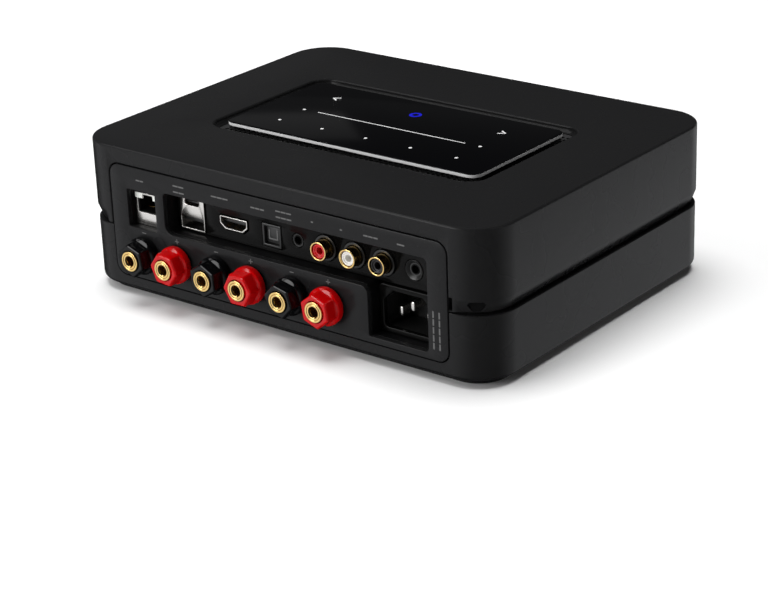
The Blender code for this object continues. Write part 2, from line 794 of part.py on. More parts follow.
def make_usb_stack():
    front = PLATE_Y + USB_PROUD
    stack = mouth_box("usb_stack", USB_X, USB_WIDTH, USB_BOTTOM, USB_TOP, front - USB_BODY, front, "nickel")
    a, h = USB_A_WIDTH / 2, USB_A_HEIGHT / 2
    mouth = rectangle(USB_X - a, USB_X + a, USB_A_Z - h, USB_A_Z + h, 0.0003, 2)
    cut(stack, upright("usb_a_mouth", [mouth], front + 0.01, 0.01 + USB_A_DEPTH))
    c, h = USB_C_WIDTH / 2, USB_C_HEIGHT / 2
    slot = rectangle(USB_X - c, USB_X + c, USB_C_Z - h, USB_C_Z + h, h - 0.0001, 4)
    cut(stack, upright("usb_c_mouth", [slot], front + 0.01, 0.01 + USB_C_DEPTH))

    deep = front - USB_A_DEPTH + GAP
    low = USB_A_Z + USB_A_TONGUE_LIFT
    high = low + USB_A_TONGUE
    out = front - USB_A_TONGUE_SETBACK
    mouth_box("usb_a_tongue", USB_X, USB_A_TONGUE_WIDTH, low, high, deep, out, "white")
    deep = front - USB_C_DEPTH + GAP
    low, high = USB_C_Z - USB_C_TONGUE / 2, USB_C_Z + USB_C_TONGUE / 2
    out = front - USB_C_TONGUE_SETBACK
    mouth_box("usb_c_tongue", USB_X, USB_C_TONGUE_WIDTH, low, high, deep, out, "black")


def make_video_jack():
    front = PLATE_Y + VIDEO_PROUD
    back = front - VIDEO_BODY + VIDEO_BACK_WALL
    body = upright("video_jack", [video_outline()], front, VIDEO_BODY, "nickel")
    cut(body, upright("video_mouth", [video_outline(-VIDEO_SHEET)], front + 0.01, front + 0.01 - back))
    low = SOCKET_AXIS + VIDEO_TONGUE_LIFT
    high = low + VIDEO_TONGUE
    out = front - VIDEO_TONGUE_SETBACK
    mouth_box("video_tongue", VIDEO_X, VIDEO_TONGUE_WIDTH, low, high, back + GAP, out, "black")


def make_optical_jack():
    half, mouth = OPTICAL_SIZE / 2, OPTICAL_MOUTH / 2
    low, high = OPTICAL_Z - half, OPTICAL_Z + half
    back, front = PLATE_Y - OPTICAL_BODY, PLATE_Y + GAP
    jack = mouth_box("optical_jack", OPTICAL_X, OPTICAL_SIZE, low, high, back, front, "black")
    low, high = OPTICAL_Z - mouth, OPTICAL_Z + mouth
    back, front = PLATE_Y - OPTICAL_CAVITY, PLATE_Y + 0.01
    cut(jack, mouth_box("optical_cavity", OPTICAL_X, OPTICAL_MOUTH, low, high, back, front))
    side = mouth - GAP
    hinge_y = PLATE_Y - DOOR_SETBACK - DOOR_THICKNESS / 2
    hinge_z = OPTICAL_Z + side - DOOR_HINGE_DROP
    t = DOOR_THICKNESS / 2
    low, high = DOOR_HINGE_DROP - 2 * side, DOOR_HINGE_DROP
    door = box("optical_shutter", (-side, -t, low), (side, t, high), "black")
    door.location = (OPTICAL_X, hinge_y, hinge_z)


def make_round_socket(name, x, radius, recess, material):
    """A small phone socket: a rim in the plate, a bore, and its body behind."""
    front = PLATE_Y + GAP
    body_radius = radius + 0.0012
    rim = JACK_BORE + 0.0010
    profile = [
        (0.0, front - 0.0105),
        (JACK_BORE, front - 0.0105),
        (JACK_BORE, front - recess),
        (rim, front - recess),
        (radius, front),
        (radius, PLATE_Y - PORT_PLATE_THICKNESS - GAP),
        (body_radius, PLATE_Y - PORT_PLATE_THICKNESS - GAP),
        (body_radius, PLATE_Y - JACK_BODY),
        (0.0, PLATE_Y - JACK_BODY),
    ]
    turned(name, profile, x, SOCKET_AXIS, material)


def make_rca_sockets():
    back = PLATE_Y - PORT_PLATE_THICKNESS - GAP
    reach = RCA_BLOCK_MARGIN
    block = box(
        "rca_block",
        (min(RCA_XS) - reach, back - RCA_BLOCK_DEPTH, SOCKET_AXIS - reach),
        (max(RCA_XS) + reach, back, SOCKET_AXIS + reach),
        "black",
    )
    deep = back - RCA_BLOCK_DEPTH + 0.002
    for number, x in enumerate(RCA_XS, 1):
        washer = rod(RCA_WASHER_RADIUS, back - 0.001, PLATE_Y + RCA_WASHER_PROUD)
        join(block, turned(f"rca_washer_{number}", washer, x, SOCKET_AXIS))
    for number, x in enumerate(RCA_XS, 1):
        bore = rod(RCA_RADIUS + GAP, deep - GAP, PLATE_Y + 0.01)
        cut(block, turned(f"rca_bore_{number}", bore, x, SOCKET_AXIS))
    for number, (x, colour) in enumerate(zip(RCA_XS, ("red", "white", "black")), 1):
        front = PLATE_Y + RCA_PROUD
        inner = RCA_RADIUS - RCA_TUBE
        barrel = [
            (inner, deep + 0.0015),
            (inner, front - 0.0002),
            (inner + 0.0002, front),
            (RCA_RADIUS - 0.0002, front),
            (RCA_RADIUS, front - 0.0002),
            (RCA_RADIUS, deep),
            (0.0, deep),
            (0.0, deep + 0.0015),
        ]
        turned(f"rca_barrel_{number}", barrel, x, SOCKET_AXIS, "gold")
        outer = inner - GAP
        insert = [
            (0.0, deep + 0.0018),
            (outer, deep + 0.0018),
            (outer, front - 0.0006),
            (RCA_PIN_BORE, front - 0.0006),
            (RCA_PIN_BORE, deep + 0.0040),
            (0.0, deep + 0.0040),
        ]
        turned(f"rca_insert_{number}", insert, x, SOCKET_AXIS, colour, steps=20)


def inlet_outline(grow=0.0):
    a, h, c = INLET_WIDTH / 2 + grow, INLET_HEIGHT / 2 + grow, INLET_CHAMFER
    corners = [(a, h - c), (a - c, h), (-a + c, h), (-a, h - c), (-a, -h), (a, -h)]
    radii = [0.0008, 0.0008, 0.0008, 0.0008, 0.0022 + grow, 0.0022 + grow]
    return fillet([(INLET_CENTRE_X + x, INLET_CENTRE_Z + z) for x, z in corners], radii, 3)


def make_mains_inlet():
    right = WELL_RIGHT + GAP
    left = MAINS_LEFT - GAP
    flange = rectangle(right, left, MAINS_FLOOR + GAP, WELL_FLOOR - GAP, MAINS_CORNER, 4)
    inlet = upright("mains_inlet", [flange], INLET_Y, INLET_FLANGE, "plate")
    body_front = INLET_Y - INLET_FLANGE / 2
    body = upright("inlet_body", [inlet_outline(INLET_WALL)], body_front, INLET_CAVITY + INLET_WALL)
    join(inlet, body)
    cut(inlet, upright("inlet_cavity", [inlet_outline()], INLET_Y + 0.01, 0.01 + INLET_CAVITY))
    deep = INLET_Y - INLET_CAVITY + GAP
    half = PIN_SPACING / 2
    pins = {
        "mains_pin_line": (half, -EARTH_RISE / 2, PIN_SETBACK),
        "mains_pin_neutral": (-half, -EARTH_RISE / 2, PIN_SETBACK),
        "mains_pin_earth": (0.0, EARTH_RISE / 2, EARTH_SETBACK),
    }
    for name, (dx, dz, setback) in pins.items():
        low = INLET_CENTRE_Z + dz - PIN_HEIGHT / 2
        high = low + PIN_HEIGHT
        mouth_box(name, INLET_CENTRE_X + dx, PIN_WIDTH, low, high, deep, INLET_Y - setback, "nickel")


# Binding posts


def hexagon_section(radius, flat, steps):
    """Radii round a hexagon with rounded corners; `flat` 0 is a circle and 1 a full hexagon."""
    radii = []
    for k in range(steps):
        t = (2 * math.pi * k / steps) % (math.pi / 3) - math.pi / 6
        apothem = radius * 0.885
        side = min(apothem / math.cos(t), radius)
        radii.append(radius + (side - radius) * flat)
    return radii


def cap_mesh(name):
    """A hexagonal cap on a round flange: a closed loft over its end and back down the bore."""
    steps = 24
    corner, flange = CAP_CORNER_RADIUS, CAP_FLANGE_RADIUS
    end, rounding = CAP_FRONT, CAP_END_ROUND
    bore = POST_RADIUS + GAP
    pocket = COLLAR_RADIUS + GAP
    pocket_end = COLLAR_BACK + COLLAR_THICKNESS + GAP
    sections = [
        (flange - 0.0005, 0.0, CAP_BACK),
        (flange, 0.0, CAP_BACK + 0.0005),
        (flange, 0.0, CAP_BACK + CAP_FLANGE - 0.0006),
        (flange - 0.0005, 0.3, CAP_BACK + CAP_FLANGE),
        (corner + 0.0002, 1.0, CAP_BACK + CAP_FLANGE + 0.0005),
        (corner, 1.0, end - rounding),
        (corner - 0.3 * rounding, 1.0, end - 0.3 * rounding),
        (corner - rounding, 1.0, end),
        (bore + 0.0002, 0.0, end),
        (bore, 0.0, end - 0.0002),
        (bore, 0.0, pocket_end),
        (pocket, 0.0, pocket_end),
        (pocket, 0.0, CAP_BACK),
    ]
    bm = bmesh.new()
    rings = []
    for radius, flat, y in sections:
        ring = []
        for k, r in enumerate(hexagon_section(radius, flat, steps)):
            t = 2 * math.pi * k / steps
            ring.append(bm.verts.new((r * math.sin(t), y, r * math.cos(t))))
        rings.append(ring)
    for below, above in zip(rings, rings[1:] + rings[:1]):
        for k in range(steps):
            j = (k + 1) % steps
            bm.faces.new((below[k], below[j], above[j], above[k]))
    bmesh.ops.recalc_face_normals(bm, faces=bm.faces)
    mesh = bpy.data.meshes.new(name)
    bm.to_mesh(mesh)
    bm.free()
    mesh.shade_smooth()
    mesh.set_sharp_from_angle(angle=math.radians(35))
    return mesh


def make_binding_posts():
    panel_back = REAR - PANEL_THICKNESS - GAP
    nut_back = panel_back - NUT_THICKNESS
    front = REAR + POST_PROUD
    bore_end = front - POST_BORE_DEPTH
    stud = [
        (0.0, nut_back - POST_TAIL),
        (POST_RADIUS, nut_back - POST_TAIL),
        (POST_RADIUS, nut_back),
        (NUT_RADIUS, nut_back),
        (NUT_RADIUS, panel_back),
        (POST_RADIUS, panel_back),
        (POST_RADIUS, front - 0.0003),
        (POST_RADIUS - 0.0003, front),
        (POST_BORE + 0.0003, front),
        (POST_BORE, front - 0.0003),
        (POST_BORE, bore_end),
        (0.0, bore_end),
    ]
    inner = POST_RADIUS + GAP
    collar = [
        (inner, REAR + COLLAR_BACK),
        (COLLAR_RADIUS, REAR + COLLAR_BACK),
        (COLLAR_RADIUS, REAR + COLLAR_BACK + COLLAR_THICKNESS),
        (inner, REAR + COLLAR_BACK + COLLAR_THICKNESS),
    ]
    shared = cap_mesh("post_cap")
    for number, (x, turn) in enumerate(zip(post_places(), CAP_TURNS_DEG), 1):
        turned(f"post_stud_{number}", stud, x, POST_Z, "gold", steps=20)
        turned(f"post_collar_{number}", collar, x, POST_Z, "steel", steps=20)
        cap = bpy.data.objects.new(f"post_cap_{number}", shared.copy())
        cap.data.materials.append(MATERIALS["cap_black" if number % 2 else "red"])
        cap.location = (x, REAR, POST_Z)
        cap.rotation_euler = (0.0, math.radians(turn), 0.0)
        PARTS.objects.link(cap)


# Inside


def make_inside():
    """The boards, the transformer and the heat sink, which only the open case would show."""
    board_back = BOARDS_FRONT_Y + POWER_BOARD_WIDTH
    top = POWER_BOARD_Z + BOARD_THICKNESS
    mouth_box("power_board", 0.0, POWER_BOARD_LENGTH, POWER_BOARD_Z, top, BOARDS_FRONT_Y, board_back, "board")
    low = top + GAP
    near = BOARDS_FRONT_Y + TRANSFORMER_SETBACK
    mouth_box(
        "transformer",
        TRANSFORMER_X,
        TRANSFORMER_SIDE,
        low,
        low + TRANSFORMER_RISE,
        near,
        near + TRANSFORMER_SIDE,
        "winding",
    )
    board_back = BOARDS_FRONT_Y + MAIN_BOARD_WIDTH
    top = MAIN_BOARD_Z + BOARD_THICKNESS
    mouth_box("main_board", 0.0, MAIN_BOARD_LENGTH, MAIN_BOARD_Z, top, BOARDS_FRONT_Y, board_back, "board")

    low = SHELL_BOTTOM + WALL + GAP
    back = BOARDS_FRONT_Y - SINK_CLEARANCE
    front = back - SINK_WIDTH
    sink = mouth_box("heat_sink", 0.0, SINK_LENGTH, low, low + SINK_BASE, front, back, "aluminium")
    pitch = (SINK_LENGTH - SINK_FIN) / (SINK_FINS - 1)
    for k in range(SINK_FINS):
        x = (k - (SINK_FINS - 1) / 2) * pitch
        join(sink, mouth_box(f"fin_{k}", x, SINK_FIN, low + SINK_BASE / 2, low + SINK_RISE, front, back))


opening = opening_cutter()
make_base_pad()
make_lower_shell(opening)
make_upper_shell(opening)
make_parting_band()
make_screws()
make_touch_top()
make_rear_panel()
make_wells()
make_port_plate()
make_lan_jack()
make_usb_stack()
make_video_jack()
make_optical_jack()
make_round_socket("aux_jack", AUX_X, AUX_RADIUS, 0.0006, "black")
make_round_socket("ir_jack", IR_X, IR_RADIUS, 0.0012, "black")
make_rca_sockets()
make_mains_inlet()
make_binding_posts()
make_inside()
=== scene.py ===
# %% [markdown]
# # A streaming amplifier with a floating touch glass
# The real object is a low, round-cornered case in dark grey metal, in two shells that meet in a dark
# groove. A black glass control strip floats in a recess on top, and the rear carries six speaker posts, a
# row of sockets and the mains inlet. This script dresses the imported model: each piece that shows is built
# again with finer edges, rides on the body it belongs to, and gets a finish made of shader nodes.

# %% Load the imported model
import math

import bmesh
import bpy
from mathutils import Matrix, Vector


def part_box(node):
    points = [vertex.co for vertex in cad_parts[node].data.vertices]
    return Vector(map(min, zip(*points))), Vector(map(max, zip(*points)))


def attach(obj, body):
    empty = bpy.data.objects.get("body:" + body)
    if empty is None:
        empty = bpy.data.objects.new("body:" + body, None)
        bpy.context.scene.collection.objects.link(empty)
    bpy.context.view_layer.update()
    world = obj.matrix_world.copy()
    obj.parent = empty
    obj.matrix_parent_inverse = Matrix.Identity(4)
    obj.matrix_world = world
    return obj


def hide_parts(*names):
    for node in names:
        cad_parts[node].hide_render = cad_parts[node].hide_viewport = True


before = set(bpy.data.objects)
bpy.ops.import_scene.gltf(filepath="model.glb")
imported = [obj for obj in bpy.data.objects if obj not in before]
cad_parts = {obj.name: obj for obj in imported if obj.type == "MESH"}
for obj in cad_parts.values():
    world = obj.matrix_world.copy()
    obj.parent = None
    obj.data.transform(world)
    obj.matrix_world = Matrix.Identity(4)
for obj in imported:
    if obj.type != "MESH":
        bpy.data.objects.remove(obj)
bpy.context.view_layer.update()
MM = 0.001

# %% [markdown]
# ## The camera
# The object is seen from behind and a little above, from far away through a long lens, so that its edges
# stay nearly parallel. A camera looks along its own -Z, so its matrix is built from three directions: the
# picture's right-hand side, its top, and the way back towards the lens. A small roll tilts the first two
# together.

# %% Camera
CAMERA_PLACE = (-0.57843, 0.73591, 0.37840)
CAMERA_TURN = math.radians(218.576)  # where the picture's right-hand side points, in plan
CAMERA_RISE = math.radians(22.595)
CAMERA_ROLL = math.radians(-2.1705)
CAMERA_LENS_MM = 106.29

right = Vector((math.cos(CAMERA_TURN), math.sin(CAMERA_TURN), 0.0))
back = Vector((math.cos(CAMERA_RISE) * right.y, -math.cos(CAMERA_RISE) * right.x, math.sin(CAMERA_RISE)))
up = back.cross(right)
rolled_right = math.cos(CAMERA_ROLL) * right + math.sin(CAMERA_ROLL) * up
rolled_up = -math.sin(CAMERA_ROLL) * right + math.cos(CAMERA_ROLL) * up
camera = bpy.data.objects.new("camera", bpy.data.cameras.new("camera"))
camera.data.lens = CAMERA_LENS_MM
camera.data.sensor_width = 36.0
camera.data.clip_end = 20.0
camera_turned = Matrix((rolled_right, rolled_up, back)).transposed().to_4x4()
camera.matrix_world = Matrix.Translation(CAMERA_PLACE) @ camera_turned
bpy.context.scene.collection.objects.link(camera)
bpy.context.scene.camera = camera
print("camera stands", round(Vector(CAMERA_PLACE).length, 3), "m from the object")

# %% [markdown]
# ## The floor
# The object stands on a pale sheet. Nothing is modelled but one large square, because a floor that reaches
# past the picture needs no edge. It is left out of the reflections, because a white floor mirrored in the
# glossy walls would make them look chalky near their foot.

# %% Floor
FLOOR_SIZE = 12.0
floor_mesh = bpy.data.meshes.new("floor")
half = FLOOR_SIZE / 2
floor_corners = [(-half, -half, 0.0), (half, -half, 0.0), (half, half, 0.0), (-half, half, 0.0)]
floor_mesh.from_pydata(floor_corners, [], [(0, 1, 2, 3)])
floor = bpy.data.objects.new("floor", floor_mesh)
floor.location.z = -0.0002
bpy.context.scene.collection.objects.link(floor)
floor.visible_glossy = False
floor_finish = bpy.data.materials.new("floor_pale")
floor_finish.use_nodes = True
floor_shader = floor_finish.node_tree.nodes["Principled BSDF"]
floor_shader.inputs["Base Color"].default_value = (0.93, 0.93, 0.93, 1.0)
floor_shader.inputs["Roughness"].default_value = 0.9
floor_shader.inputs["Specular IOR Level"].default_value = 0.1
floor_mesh.materials.append(floor_finish)
print("floor:", FLOOR_SIZE, "m square")

# %% [markdown]
# ## The room that the case mirrors
# A dark glossy case shows its surroundings more than its own colour, so the room is drawn with care. Behind
# the object it is plain white. In reflections it is dim, apart from two soft bright walls that face each
# other at the object's sides. They stand for the white panels that a studio puts there, and they reach only
# a little above the horizon, so the walls of the case shine evenly while its top stays dark. All this could
# be done with planes around the object, but a world made of directions has no edge that could fall into the
# picture or cast a shadow.

# %% Room
WALLS_FACE = (0.618, 0.786, 0.0)  # the direction of the bright walls, in plan
WALL_EDGE = (0.42, 0.95)  # where a wall starts and where it is full, as a share of that direction
WALL_TOP = (0.15, -0.10)  # heights between which a wall fades in, from above the horizon to below
ROOM_DIM, ROOM_BRIGHT = 0.020, 1.0

world = bpy.data.worlds.new("studio")
world.use_nodes = True
nodes, links = world.node_tree.nodes, world.node_tree.links
backdrop = nodes["Background"]
backdrop.inputs["Color"].default_value = (1.0, 1.0, 1.0, 1.0)
room = nodes.new("ShaderNodeBackground")
room.inputs["Color"].default_value = (0.97, 0.98, 1.0, 1.0)
where = nodes.new("ShaderNodeTexCoord")
across = nodes.new("ShaderNodeVectorMath")
across.operation = "DOT_PRODUCT"
across.inputs[1].default_value = WALLS_FACE
links.new(where.outputs["Generated"], across.inputs[0])
either = nodes.new("ShaderNodeMath")
either.operation = "ABSOLUTE"
links.new(across.outputs["Value"], either.inputs[0])
walls = nodes.new("ShaderNodeMapRange")
walls.interpolation_type = "SMOOTHSTEP"
walls.inputs["From Min"].default_value, walls.inputs["From Max"].default_value = WALL_EDGE
links.new(either.outputs["Value"], walls.inputs["Value"])
height = nodes.new("ShaderNodeSeparateXYZ")
links.new(where.outputs["Generated"], height.inputs["Vector"])
low = nodes.new("ShaderNodeMapRange")
low.inputs["From Min"].default_value, low.inputs["From Max"].default_value = WALL_TOP
low.inputs["To Max"].default_value = ROOM_BRIGHT
links.new(height.outputs["Z"], low.inputs["Value"])
glow = nodes.new("ShaderNodeMath")
glow.operation = "MULTIPLY_ADD"
glow.inputs[2].default_value = ROOM_DIM
links.new(walls.outputs["Result"], glow.inputs[0])
links.new(low.outputs["Result"], glow.inputs[1])
links.new(glow.outputs["Value"], room.inputs["Strength"])
seen = nodes.new("ShaderNodeLightPath")
chosen = nodes.new("ShaderNodeMixShader")
links.new(seen.outputs["Is Camera Ray"], chosen.inputs["Fac"])
links.new(room.outputs["Background"], chosen.inputs[1])
links.new(backdrop.outputs["Background"], chosen.inputs[2])
links.new(chosen.outputs["Shader"], nodes["World Output"].inputs["Surface"])
bpy.context.scene.world = world
bpy.context.scene.view_settings.view_transform = "Standard"
print("room:", len(nodes), "nodes, strength from", ROOM_DIM, "to", ROOM_DIM + ROOM_BRIGHT)

# %% [markdown]
# ## Lights
# A sun with a very wide disc stands for a big overhead softbox. It lights the floor evenly, so the floor
# stays white everywhere and only darkens close to the case. It is hidden from reflections, or it would lay
# a grey veil on the glass. Four area lights do what the sun can't: they draw the sheen on the rear panel,
# the glint on the far part of the glass and the highlights on the caps. An area light fades with distance,
# so each one touches one side only.

# %% Lights
SUN_STRENGTH = 3.3
SUN_DISC = math.radians(46)


def soft_light(name, place, target, size, power, colour=(1.0, 1.0, 1.0)):
    """A square softbox that faces a target."""
    light = bpy.data.lights.new(name, "AREA")
    light.size = size
    light.energy = power
    light.color = colour
    lamp = bpy.data.objects.new(name, light)
    lamp.location = place
    lamp.rotation_euler = (Vector(target) - Vector(place)).to_track_quat("-Z", "Y").to_euler()
    bpy.context.scene.collection.objects.link(lamp)
    return lamp


sun = bpy.data.objects.new("overhead", bpy.data.lights.new("overhead", "SUN"))
sun.data.energy = SUN_STRENGTH
sun.data.angle = SUN_DISC
sun.rotation_euler = (math.radians(7), math.radians(6), 0.0)
sun.visible_glossy = False
bpy.context.scene.collection.objects.link(sun)
soft_light("rear_softbox", (0.55, 1.30, 0.45), (0.0, 0.0, 0.05), 0.7, 11.0)
soft_light("high_softbox", (0.90, 0.70, 1.05), (0.0, 0.0, 0.06), 0.7, 5.0)
soft_light("side_softbox", (-1.5, 0.15, 0.5), (0.0, 0.0, 0.03), 0.8, 1.2)
soft_light("far_softbox", (0.98, -0.90, 0.46), (0.05, 0.0, 0.068), 0.34, 0.022)

# %% [markdown]
# ## Finishes
# Every finish starts from one shader, and what differs is written on top of it: a fine grain that shifts
# the colour a little and roughens the surface, and a broad cloud that varies the gloss the way handling and
# moulding do. Texture coordinates come from the object itself, so that the grain stays put when a piece
# moves.

# %% Finish helper
GRAIN = 2600.0  # cells per metre for blasted metal and moulded plastic


def finish(name, colour, roughness, metallic=0.0, vary=0.08, spread=0.06, bump=0.05, grain=GRAIN, **sockets):
    """A material whose colour, gloss and relief come from noise. `sockets` go to the shader itself."""
    material = bpy.data.materials.new(name)
    material.use_nodes = True
    nodes, links = material.node_tree.nodes, material.node_tree.links
    shader = nodes["Principled BSDF"]
    shader.inputs["Metallic"].default_value = metallic
    for socket, value in sockets.items():
        shader.inputs[socket.replace("_", " ")].default_value = value
    place = nodes.new("ShaderNodeTexCoord")
    fine = nodes.new("ShaderNodeTexNoise")
    fine.inputs["Scale"].default_value = grain
    fine.inputs["Detail"].default_value = 3.0
    links.new(place.outputs["Object"], fine.inputs["Vector"])
    tint = nodes.new("ShaderNodeMix")
    tint.data_type = "RGBA"
    tint.inputs[6].default_value = (*[c * (1 - vary) for c in colour], 1.0)
    tint.inputs[7].default_value = (*[min(1.0, c * (1 + vary)) for c in colour], 1.0)
    links.new(fine.outputs["Fac"], tint.inputs["Factor"])
    links.new(tint.outputs[2], shader.inputs["Base Color"])
    cloud = nodes.new("ShaderNodeTexNoise")
    cloud.inputs["Scale"].default_value = 45.0
    links.new(place.outputs["Object"], cloud.inputs["Vector"])
    gloss = nodes.new("ShaderNodeMapRange")
    gloss.inputs["To Min"].default_value = max(0.02, roughness - spread)
    gloss.inputs["To Max"].default_value = min(1.0, roughness + spread)
    links.new(cloud.outputs["Fac"], gloss.inputs["Value"])
    links.new(gloss.outputs["Result"], shader.inputs["Roughness"])
    if bump > 0:
        relief = nodes.new("ShaderNodeBump")
        relief.inputs["Strength"].default_value = bump
        relief.inputs["Distance"].default_value = 0.05 * MM
        links.new(fine.outputs["Fac"], relief.inputs["Height"])
        links.new(relief.outputs["Normal"], shader.inputs["Normal"])
    return material


# %% [markdown]
# ## The palette
# The case is very dark, so nearly all that the eye sees on it is soft reflection: a low specular level keeps
# the grey calm. Plated parts are true metals, whose colour is the colour of their reflection. The clear red
# of the caps gets a low roughness, because the plastic is polished and its edges glint.

# %% Palette
shell_grey = finish(
    "shell_grey", (0.0120, 0.0120, 0.0124), 0.27, vary=0.16, bump=0.06, Specular_IOR_Level=0.11
)
vent_grey = finish("vent_grey", (0.034, 0.034, 0.035), 0.42, vary=0.12, bump=0.03)
panel_grey = finish(
    "panel_grey", (0.0110, 0.0110, 0.0115), 0.26, vary=0.12, bump=0.04, Specular_IOR_Level=0.13
)
pad_rubber = finish("pad_rubber", (0.0070, 0.0070, 0.0075), 0.78, vary=0.2, bump=0.3, Specular_IOR_Level=0.25)
well_black = finish("well_black", (0.0035, 0.0035, 0.0038), 0.38, vary=0.1, Specular_IOR_Level=0.25)
port_grey = finish(
    "port_grey", (0.0030, 0.0029, 0.0028), 0.16, vary=0.06, spread=0.04, bump=0.01, Specular_IOR_Level=0.08
)
glass_black = finish(
    "glass_black", (0.0012, 0.0012, 0.0016), 0.13, vary=0.1, spread=0.02, bump=0.0, Specular_IOR_Level=0.35
)
glass_rim = finish("glass_rim_satin", (0.86, 0.86, 0.86), 0.45, vary=0.03, bump=0.03)
mark_white = finish("mark_white", (0.82, 0.82, 0.82), 0.5, vary=0.03, bump=0.0)
mark_grey = finish("mark_grey", (0.10, 0.10, 0.10), 0.5, vary=0.05, bump=0.0)
mark_blue = finish("mark_blue", (0.010, 0.012, 0.52), 0.4, vary=0.05, bump=0.0)
gold_plate = finish("gold_plate", (0.86, 0.60, 0.24), 0.17, 1.0, vary=0.05, spread=0.06, bump=0.02)
nickel_plate = finish("nickel_plate", (0.70, 0.68, 0.65), 0.24, 1.0, vary=0.05, spread=0.07, bump=0.03)
screw_steel = finish("screw_steel", (0.50, 0.49, 0.48), 0.30, 1.0, vary=0.08, spread=0.08, bump=0.05)
clear_red = finish(
    "clear_red", (0.46, 0.0006, 0.0015), 0.16, vary=0.06, spread=0.03, bump=0.01, Specular_IOR_Level=0.3
)
gloss_black = finish(
    "gloss_black", (0.0022, 0.0022, 0.0026), 0.13, vary=0.1, spread=0.03, bump=0.01, Specular_IOR_Level=0.22
)
insert_red = finish("insert_red", (0.55, 0.008, 0.010), 0.32, vary=0.06, bump=0.03)
insert_white = finish("insert_white", (0.80, 0.78, 0.74), 0.35, vary=0.03, bump=0.03)
insert_black = finish("insert_black", (0.010, 0.010, 0.010), 0.35, vary=0.1, bump=0.03)
led_window = finish("led_window", (0.78, 0.80, 0.76), 0.30, vary=0.04, bump=0.02, Coat_Weight=0.3)
board_green = finish("board_green", (0.010, 0.075, 0.032), 0.42, vary=0.25, grain=900.0)
winding_tape = finish("winding_tape", (0.58, 0.40, 0.06), 0.45, vary=0.12, grain=700.0)
sink_metal = finish("sink_metal", (0.62, 0.62, 0.63), 0.38, 1.0, vary=0.06, grain=1500.0)
print("finishes:", len(bpy.data.materials))

# %% [markdown]
# ## Outlines
# Nearly every piece here is one outline, used at several depths. `rounded` takes sharp corners and gives
# the outline with each corner on an arc. It shortens an arc that would not fit, and always returns the same
# number of points, so that two sizes of one outline can be joined point by point.

# %% Outline helpers
ARC_STEPS = 7


def rounded(corners, radii, steps=ARC_STEPS):
    """The outline through these corners with each one rounded."""
    points = []
    for i, (x, y) in enumerate(corners):
        before, after = corners[i - 1], corners[(i + 1) % len(corners)]
        radius = radii[i] if isinstance(radii, (list, tuple)) else radii
        if radius <= 0:
            points.append((x, y))
            continue
        u, v = Vector((before[0] - x, before[1] - y)), Vector((after[0] - x, after[1] - y))
        reach = 0.48 * min(u.length, v.length)
        u.normalize()
        v.normalize()
        half = math.acos(max(-1.0, min(1.0, u.dot(v)))) / 2
        tangent = min(radius / math.tan(half), reach)
        radius = tangent * math.tan(half)
        centre = Vector((x, y)) + (u + v).normalized() * (radius / math.sin(half))
        first = Vector((x, y)) + u * tangent - centre
        last = Vector((x, y)) + v * tangent - centre
        start = math.atan2(first.y, first.x)
        turn = (math.atan2(last.y, last.x) - start + math.pi) % (2 * math.pi) - math.pi
        for k in range(steps + 1):
            angle = start + turn * k / steps
            points.append((centre.x + radius * math.cos(angle), centre.y + radius * math.sin(angle)))
    return points


def rectangle(x0, x1, z0, z1, radius=0.0, grow=0.0, steps=ARC_STEPS):
    corners = [(x0 - grow, z0 - grow), (x1 + grow, z0 - grow), (x1 + grow, z1 + grow), (x0 - grow, z1 + grow)]
    return rounded(corners, max(radius + grow, 0.02 * MM), steps)


def circle(x, z, radius, steps=64):
    angles = [2 * math.pi * k / steps for k in range(steps)]
    return [(x + radius * math.sin(a), z + radius * math.cos(a)) for a in angles]


print("a rounded square has", len(rectangle(0, 1, 0, 1, 0.1)), "points")

# %% [markdown]
# ## Solids from rings
# `add_rings` joins rings of points into a skin: it closes the two ends, or joins the last ring to the first
# when the section is a loop, as in a tube. A turned piece is a stack of circles, and a loft is a stack of
# outlines. One piece may hold several such solids, so they are added to one bmesh and finished together.

# %% Rings, turned pieces and prisms


def add_rings(bm, rings, loop=False):
    """Faces between rings. A ring of one point is where the shape meets its axis."""
    made = [[bm.verts.new(point) for point in ring] for ring in rings]
    for a, b in list(zip(made, made[1:])) + ([(made[-1], made[0])] if loop else []):
        count = max(len(a), len(b))
        for k in range(count):
            j = (k + 1) % count
            if len(a) == 1:
                bm.faces.new((a[0], b[j], b[k]))
            elif len(b) == 1:
                bm.faces.new((a[k], a[j], b[0]))
            else:
                bm.faces.new((a[k], a[j], b[j], b[k]))
    if not loop:
        for ring in (made[0], made[-1]):
            if len(ring) > 2:
                bm.faces.new(ring)


def add_turned(bm, profile, x, z, edge=0.12 * MM, steps=64):
    """A solid turned about a line along Y. The profile is (radius, y) points round the section."""
    softened = rounded(profile, [0.0 if radius == 0 else edge for radius, _ in profile], 3)
    rings = []
    for radius, y in softened:
        on_circle = [(px, y, pz) for px, pz in circle(x, z, radius, steps)]
        rings.append([(x, y, z)] if radius < 1e-9 else on_circle)
    on_axis = profile[0][0] == 0
    add_rings(bm, rings, loop=not on_axis)


def add_prism(bm, outline, low, high, axis="Y"):
    """An outline pushed from `low` to `high` along Y, or along Z for marks that lie flat."""
    stand = (lambda u, v, w: (u, w, v)) if axis == "Y" else (lambda u, v, w: (u, v, w))
    add_rings(bm, [[stand(u, v, w) for u, v in outline] for w in (low, high)])


trial = bmesh.new()
add_turned(trial, [(0.0, 0.0), (MM, 0.0), (MM, MM), (0.0, MM)], 0.0, 0.0)
print("a small turned peg has", len(trial.faces), "faces")
trial.free()

